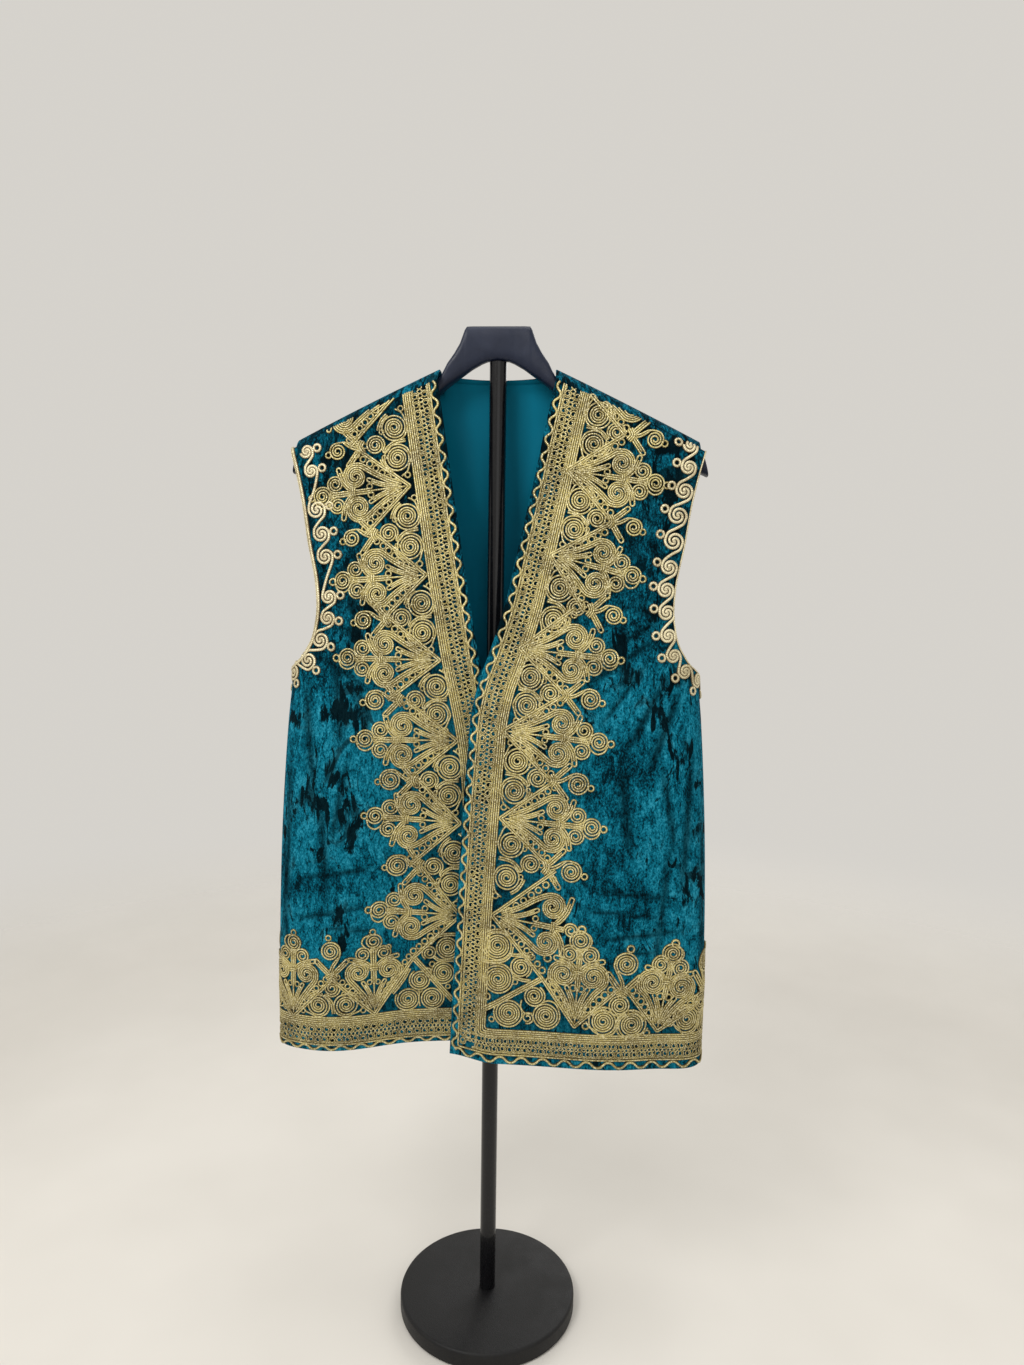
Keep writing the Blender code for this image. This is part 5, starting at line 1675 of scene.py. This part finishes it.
# Short runs of cord that tie the corner's coils together: number of cords, and the points.
CORNER_TAILS = {
    "left": [
        (3, (59, 424), (40, 412.5), (20, 400.5), (-2.0, 387.0)),
        (2, (-3, 439.5), (8, 439.5), (19, 441.5), (25.5, 448), (27.5, 457)),
        (2, (24, 448), (32, 447.5), (40, 448), (47, 442)),
        (2, (28, 425), (38, 421.5), (47, 420.5)),
        (1, (38, 400), (37, 392), (42, 385.5), (49, 386)),
        (2, (1, 469.5), (9, 473), (17, 472.5), (24, 466)),
        (1, (59, 398), (66, 400.5), (73, 398), (77, 391)),
    ],
    "right": [
        (3, (82, 426), (70, 411.5), (56, 394.5), (40, 376.0)),
        (2, (38, 422), (46, 421.5), (54, 421.5), (60, 426)),
        (2, (36, 451), (46, 451), (56, 449), (64, 441)),
        (1, (63, 405), (64, 412), (70, 413.5)),
        (1, (75, 388), (76.5, 379), (75, 370)),
        (2, (86, 414), (91, 404), (98, 394), (104, 387)),
    ],
}


def flat_place(cloth, places):
    """Places of the worn cloth, as (x, height), on the flat drawing."""
    x, z = np.array(places, float).T
    return np.stack([cloth.around_at(x * MM, z * MM) / MM, z], axis=1)


def seen_from(point, tip, place):
    """A flat place in the axes of a motif from point to tip, in the standard motif's u and v."""
    ahead = (tip - point) / np.linalg.norm(tip - point)
    away = np.array(place, float) - point
    return away @ ahead, away @ np.array([-ahead[1], ahead[0]])


def front_motifs(work, panel):
    """The row of motifs down one front."""
    points, tips = (flat_place(work.cloth, places[panel]) for places in (POINTS, TIPS))
    points = np.concatenate([[points[0] + (points[0] - points[1]) * OVER_FIRST], points])
    tips = np.concatenate([[tips[0] + points[0] - points[1]], tips])
    last = len(points) - 1
    shares = (0.5, *CROSS_SHARES[panel])
    for k, (point, tip) in enumerate(zip(points, tips)):
        up = (points[k - 1] - point)[1] * (1 - shares[k - 1]) if k else FIRST_UP
        down = (point - points[k + 1])[1] * shares[k] if k < last else LAST_DOWN
        reach = np.linalg.norm(tip - point)
        ends = [(ARM_OUT, HALF_WIDTH), (ARM_OUT, -HALF_WIDTH)]
        if k == last:
            u, v = seen_from(point, tip, CROSSINGS[panel])
            ends[1] = (u * REACH / reach * PAST_CROSSING, v * HALF_WIDTH / down * PAST_CROSSING)
        widen = (up / HALF_WIDTH, down / HALF_WIDTH)
        whole = k < last or panel == "right"
        palmette(Drawing(work, point, tip - point, ((0, 0), (REACH, reach)), widen), ends, whole)
    edge = opening_line(work, BAND)[::-1]
    sprigs = (SPRIGS[0], *SPRIGS)
    for upper, lower, far, near, share, sprig in zip(points, points[1:], tips, tips[1:], shares, sprigs):
        z = upper[1] * (1 - share) + lower[1] * share
        out = ((far - upper) + (near - lower)) / 2
        reach = np.linalg.norm(out) / REACH * SPRIG_REACH
        widen = (upper - lower)[1] / 2 / HALF_WIDTH
        origin = (np.interp(z, edge[:, 1], edge[:, 0]), z)
        valley(Drawing(work, origin, out, ((0, 0), (SPRIG_REACH, reach)), (widen, widen)), sprig)


def hem_motifs(work, points, tips, size, first_end=None):
    """The row of motifs along a hem, from the front edge or the middle of the back to the side."""
    points, tips = np.array(points, float), np.array(tips, float)
    arm_out = HEM_CROSSING / (np.linalg.norm(tips[0] - points[0]) / REACH)
    for k, (point, tip) in enumerate(zip(points, tips)):
        reach = np.linalg.norm(tip - point)
        ends = [(arm_out, HALF_WIDTH), (arm_out, -HALF_WIDTH)]
        if k == 0 and first_end is not None:
            u, v = seen_from(point, tip, first_end)
            ends[0] = (u * REACH / reach * PAST_HEM_CROSSING, v * PAST_HEM_CROSSING)
        along = ((0, 0), (REACH, reach))
        palmette(Drawing(work, point, tip - point, along, size=size * HEM_PALMETTE_SIZE), ends)
    widen = (HEM_SPRIG_WIDEN, HEM_SPRIG_WIDEN)
    for near, far, tip, far_tip in zip(points, points[1:], tips, tips[1:]):
        out = ((tip - near) + (far_tip - far)) / 2
        reach = np.linalg.norm(out) * HEM_SPRIG_REACH
        along = ((0, 0), (CROSSING, HEM_CROSSING), (SPRIG_REACH, reach))
        origin = ((near + far)[0] / 2, HEM_MM + BAND + HEM_SPRIG_RISE)
        valley(Drawing(work, origin, out, along, widen, size * HEM_SPRIG_SIZE))


def corner(work, panel):
    """What fills the lower corner, on both sides of a band of three cords."""
    draw = Drawing(work, (0, 0), (1, 0), ((-400, -400), (400, 400)))
    for count, *tail in CORNER_TAILS[panel]:
        draw.line(tail, count, lift=0.7)
    for around, z, radius, start, hand in CORNER_COILS[panel]:
        draw.coil(around, z, radius * CORNER_COIL_SIZE, start, hand, crescent=0.5)
    for around, z, radius in CORNER_RINGS[panel]:
        draw.ring(around, z, radius)


fancy = {}
for panel in ("left", "right"):
    edging, motifs = BraidWork(panel), BraidWork(panel)
    net = border(edging)
    front_motifs(motifs, panel)
    hem_motifs(motifs, HEM_POINTS[panel], HEM_TIPS[panel], HEM_COILS[panel], CROSSINGS[panel])
    corner(motifs, panel)
    meshes = [
        cord_mesh(f"border_cords_{panel}", edging),
        cord_mesh(f"motif_cords_{panel}", motifs),
        ring_mesh(f"net_rings_{panel}", net, GOLD, NET_RADIUS, NET_TURNS, NET_HEART, NET_CORD),
        ring_mesh(f"motif_rings_{panel}", motifs, GOLD, RING_RADIUS),
    ]
    fancy[panel] = [braid_piece(mesh, GOLD, f"front_braid_{panel}") for mesh in meshes]

# --- Back hem --------------------------------------------------------------------------------
# The same border and hem motifs run on across the back, where they stand evenly from side to
# side. Above them the back is plain velvet.

# Palmettes along the back's hem: the first on the wearer's right, how far apart they stand, the
# height of their points, and how high they are.
BACK_FIRST = -244.5
BACK_REPEAT = 88.0
BACK_COUNT = 7
BACK_POINT_Z = 371
BACK_PALMETTE = 95

hem_work, hem_net = BraidWork("back"), BraidWork("back")
edge = hem_line(hem_work, 0.0, -hem_work.cloth.side_line(HEM_Z) / MM)
wave = HEM_WAVE["back"]
hem_work.cord(waved(edge + (0, wave["middle"]), wave), *WAVE_CORD)
for inset in HEM_STRAIGHT["back"]:
    hem_work.cord(edge + (0, inset), clearance=SEAM_CLEARANCE)
for inset, radius, phase in HEM_NET["back"]:
    net_row(hem_net, edge + (0, inset), HEM_NET_REPEAT, radius, phase, to_seam=True)
for inset, swing in HEM_WEAVE["back"]:
    for phase in (0.0, math.pi):
        swung = {"reach": swing, "repeat": HEM_NET_REPEAT}
        hem_work.cord(waved(edge + (0, inset), swung, phase), *WEAVE_CORD)
apexes = [(BACK_FIRST + BACK_REPEAT * k, BACK_POINT_Z) for k in range(BACK_COUNT)]
hem_motifs(hem_work, apexes, [(around, z + BACK_PALMETTE) for around, z in apexes], 1.0)
meshes = [
    cord_mesh("hem_cords_back", hem_work),
    ring_mesh("hem_net_rings_back", hem_net, GOLD, NET_RADIUS, NET_TURNS, NET_HEART, NET_CORD),
    ring_mesh("hem_motif_rings_back", hem_work, GOLD, RING_RADIUS),
]
fancy["back"] = [braid_piece(mesh, GOLD, "hem_braid_back") for mesh in meshes]

# --- Armhole chains --------------------------------------------------------------------------
# A chain of thick pale cord down each armhole: it runs into a coil, turns at its heart, comes out
# on the other side and on to the next. A ring hangs on the chest side of every coil.

CHAIN_WIDTH = 3.7
CHAIN_HEIGHT = 2.3
CHAIN_LIFT = 0.6
CHAIN_TURNS = 1.06
CHAIN_STEPS = 34
CHAIN_RADIUS = {"left": 10.4, "right": 9.0, "back": 9.4}
# How far outside a coil the link to the next one swings.
LINK_SWING = 1.2
# The ring on each coil: its radius, its cord's share of the chain's, how far out from the coil's
# edge it hangs, how much lower or higher by chance, and how far up.
CHAIN_RING = 3.6
CHAIN_RING_CORD = 0.92
RING_OUT = 5.4
RING_STRAY = 1.5
RING_RISE = {"left": 3.8, "right": 0.5, "back": 2.0}
# Lines along the armhole are drawn from above the shoulder seam down to just over the underarm.
ARMHOLE_TOP = 990.0
ARMHOLE_SHORT = 0.2
# Cords along the very edge: distance in and width. Their height and lift are shares of the width.
EDGE_CORDS = {"left": [(1.2, 1.9)], "right": [(0.9, 1.3), (3.3, 3.4)], "back": [(1.2, 1.9)]}
EDGE_CORD_HEIGHT = 0.8
EDGE_CORD_LIFT = 0.25
EDGE_CORD_CLEARANCE = 0.2
# The coils' centres, as places on the flat drawing. The back's stand evenly along the armhole.
CHAIN_INSET = 14.0
CHAIN_REPEAT = 24.0
CHAIN_TOP = 968
CHAIN_PLACES = {
    "left": [
        (199.5, 972.5), (198, 950.5), (194, 926.5), (188, 901.5), (184.5, 875.5), (180.5, 849),
        (177.5, 826), (179, 803), (181, 779.5), (187.5, 759), (201, 743), (219.5, 733), (241, 729),
    ],
    "right": [
        (197.5, 964), (192, 944), (185.5, 904), (180, 879), (175.5, 855.5), (171, 814),
        (172, 792), (180, 769), (194.5, 747.5), (216.5, 735), (241, 729),
    ],
}

# Pale gold cord: dull and bright tones, and the colour of its painted shade.
PALE_GOLD = gold_cord("pale_gold_cord", (0.52, 0.43, 0.25), (0.90, 0.80, 0.53), (0.14, 0.10, 0.045))


def armhole_line(work, inset):
    """The line at a distance in from the armhole's edge, from the shoulder down to the side seam."""
    z = np.linspace(ARMHOLE_TOP, UNDERARM_Z / MM + ARMHOLE_SHORT, 1200)
    edge = np.stack([work.cloth.armhole_edge(z * MM) / MM, z], axis=1)
    return beside(spaced(edge, 1.0), -inset)


def chain(work, centres, radius, enters):
    """The chain through its coils' centres. enters is -1 if it comes in on the chest side."""
    centres = np.array(centres, float)
    down = np.gradient(centres, axis=0)
    down /= np.linalg.norm(down, axis=1, keepdims=True)
    out = np.stack([-down[:, 1], down[:, 0]], axis=1)
    turn = np.linspace(0, 1, CHAIN_STEPS)[:, None]
    angle = 2 * math.pi * CHAIN_TURNS * turn
    steps = np.linalg.norm(np.diff(centres, axis=0), axis=1)
    room = np.minimum(np.append(steps, steps[-1]), np.insert(steps, 0, steps[0]))
    radii = np.minimum(room * 0.5 - CHAIN_WIDTH, radius)
    path = []
    for k, (centre, low, side, r) in enumerate(zip(centres, down, out * enters, radii)):
        wound = r * (1 - turn) * (np.cos(angle) * side + np.sin(angle) * low)
        path += [centre + wound, centre - wound[::-1][1:]]
        lower = rng.uniform(-RING_STRAY, RING_STRAY) - RING_RISE[work.cloth.panel]
        work.ring(centre - out[k] * (r + RING_OUT) + low * lower, CHAIN_RING, rng.uniform(0, 6))
        if k + 1 < len(centres):
            after, next_side = centres[k + 1], out[k + 1] * enters
            next_low, next_r = down[k + 1], radii[k + 1]
            near = centre + (r + LINK_SWING) * math.sqrt(0.5) * (low - side)
            far = after + (next_r + LINK_SWING) * math.sqrt(0.5) * (next_side - next_low)
            link = [centre - r * side, near, (centre + after) / 2, far, after + next_r * next_side]
            path.append(smooth_line(link)[2:-2])
    work.cord(np.concatenate(path), CHAIN_WIDTH, CHAIN_HEIGHT, CHAIN_LIFT)


def armhole_work(panel, side):
    """The cords and rings round one panel's part of an armhole."""
    work = BraidWork(panel, side)
    for inset, width in EDGE_CORDS[panel]:
        shape = (width, width * EDGE_CORD_HEIGHT, width * EDGE_CORD_LIFT)
        work.cord(armhole_line(work, inset), *shape, clearance=EDGE_CORD_CLEARANCE)
    centres = CHAIN_PLACES.get(panel)
    if centres is None:
        line = armhole_line(work, CHAIN_INSET)
        centres = spaced(line[line[:, 1] < CHAIN_TOP], CHAIN_REPEAT)
    chain(work, centres, CHAIN_RADIUS[panel], 1 if panel == "right" else -1)
    return work


for panel, side, node in (
    ("left", 1, "armhole_braid_front_left"),
    ("right", 1, "armhole_braid_front_right"),
    ("back", 1, "armhole_braid_back_left"),
    ("back", -1, "armhole_braid_back_right"),
):
    work = armhole_work(panel, side)
    cords = cord_mesh(node.replace("braid", "cords"), work)
    thickness = CHAIN_WIDTH / 2 * CHAIN_RING_CORD
    name = node.replace("braid", "rings")
    rings = ring_mesh(name, work, PALE_GOLD, CHAIN_RING, cord_radius=thickness)
    fancy[panel] += [braid_piece(mesh, PALE_GOLD, node) for mesh in (cords, rings)]
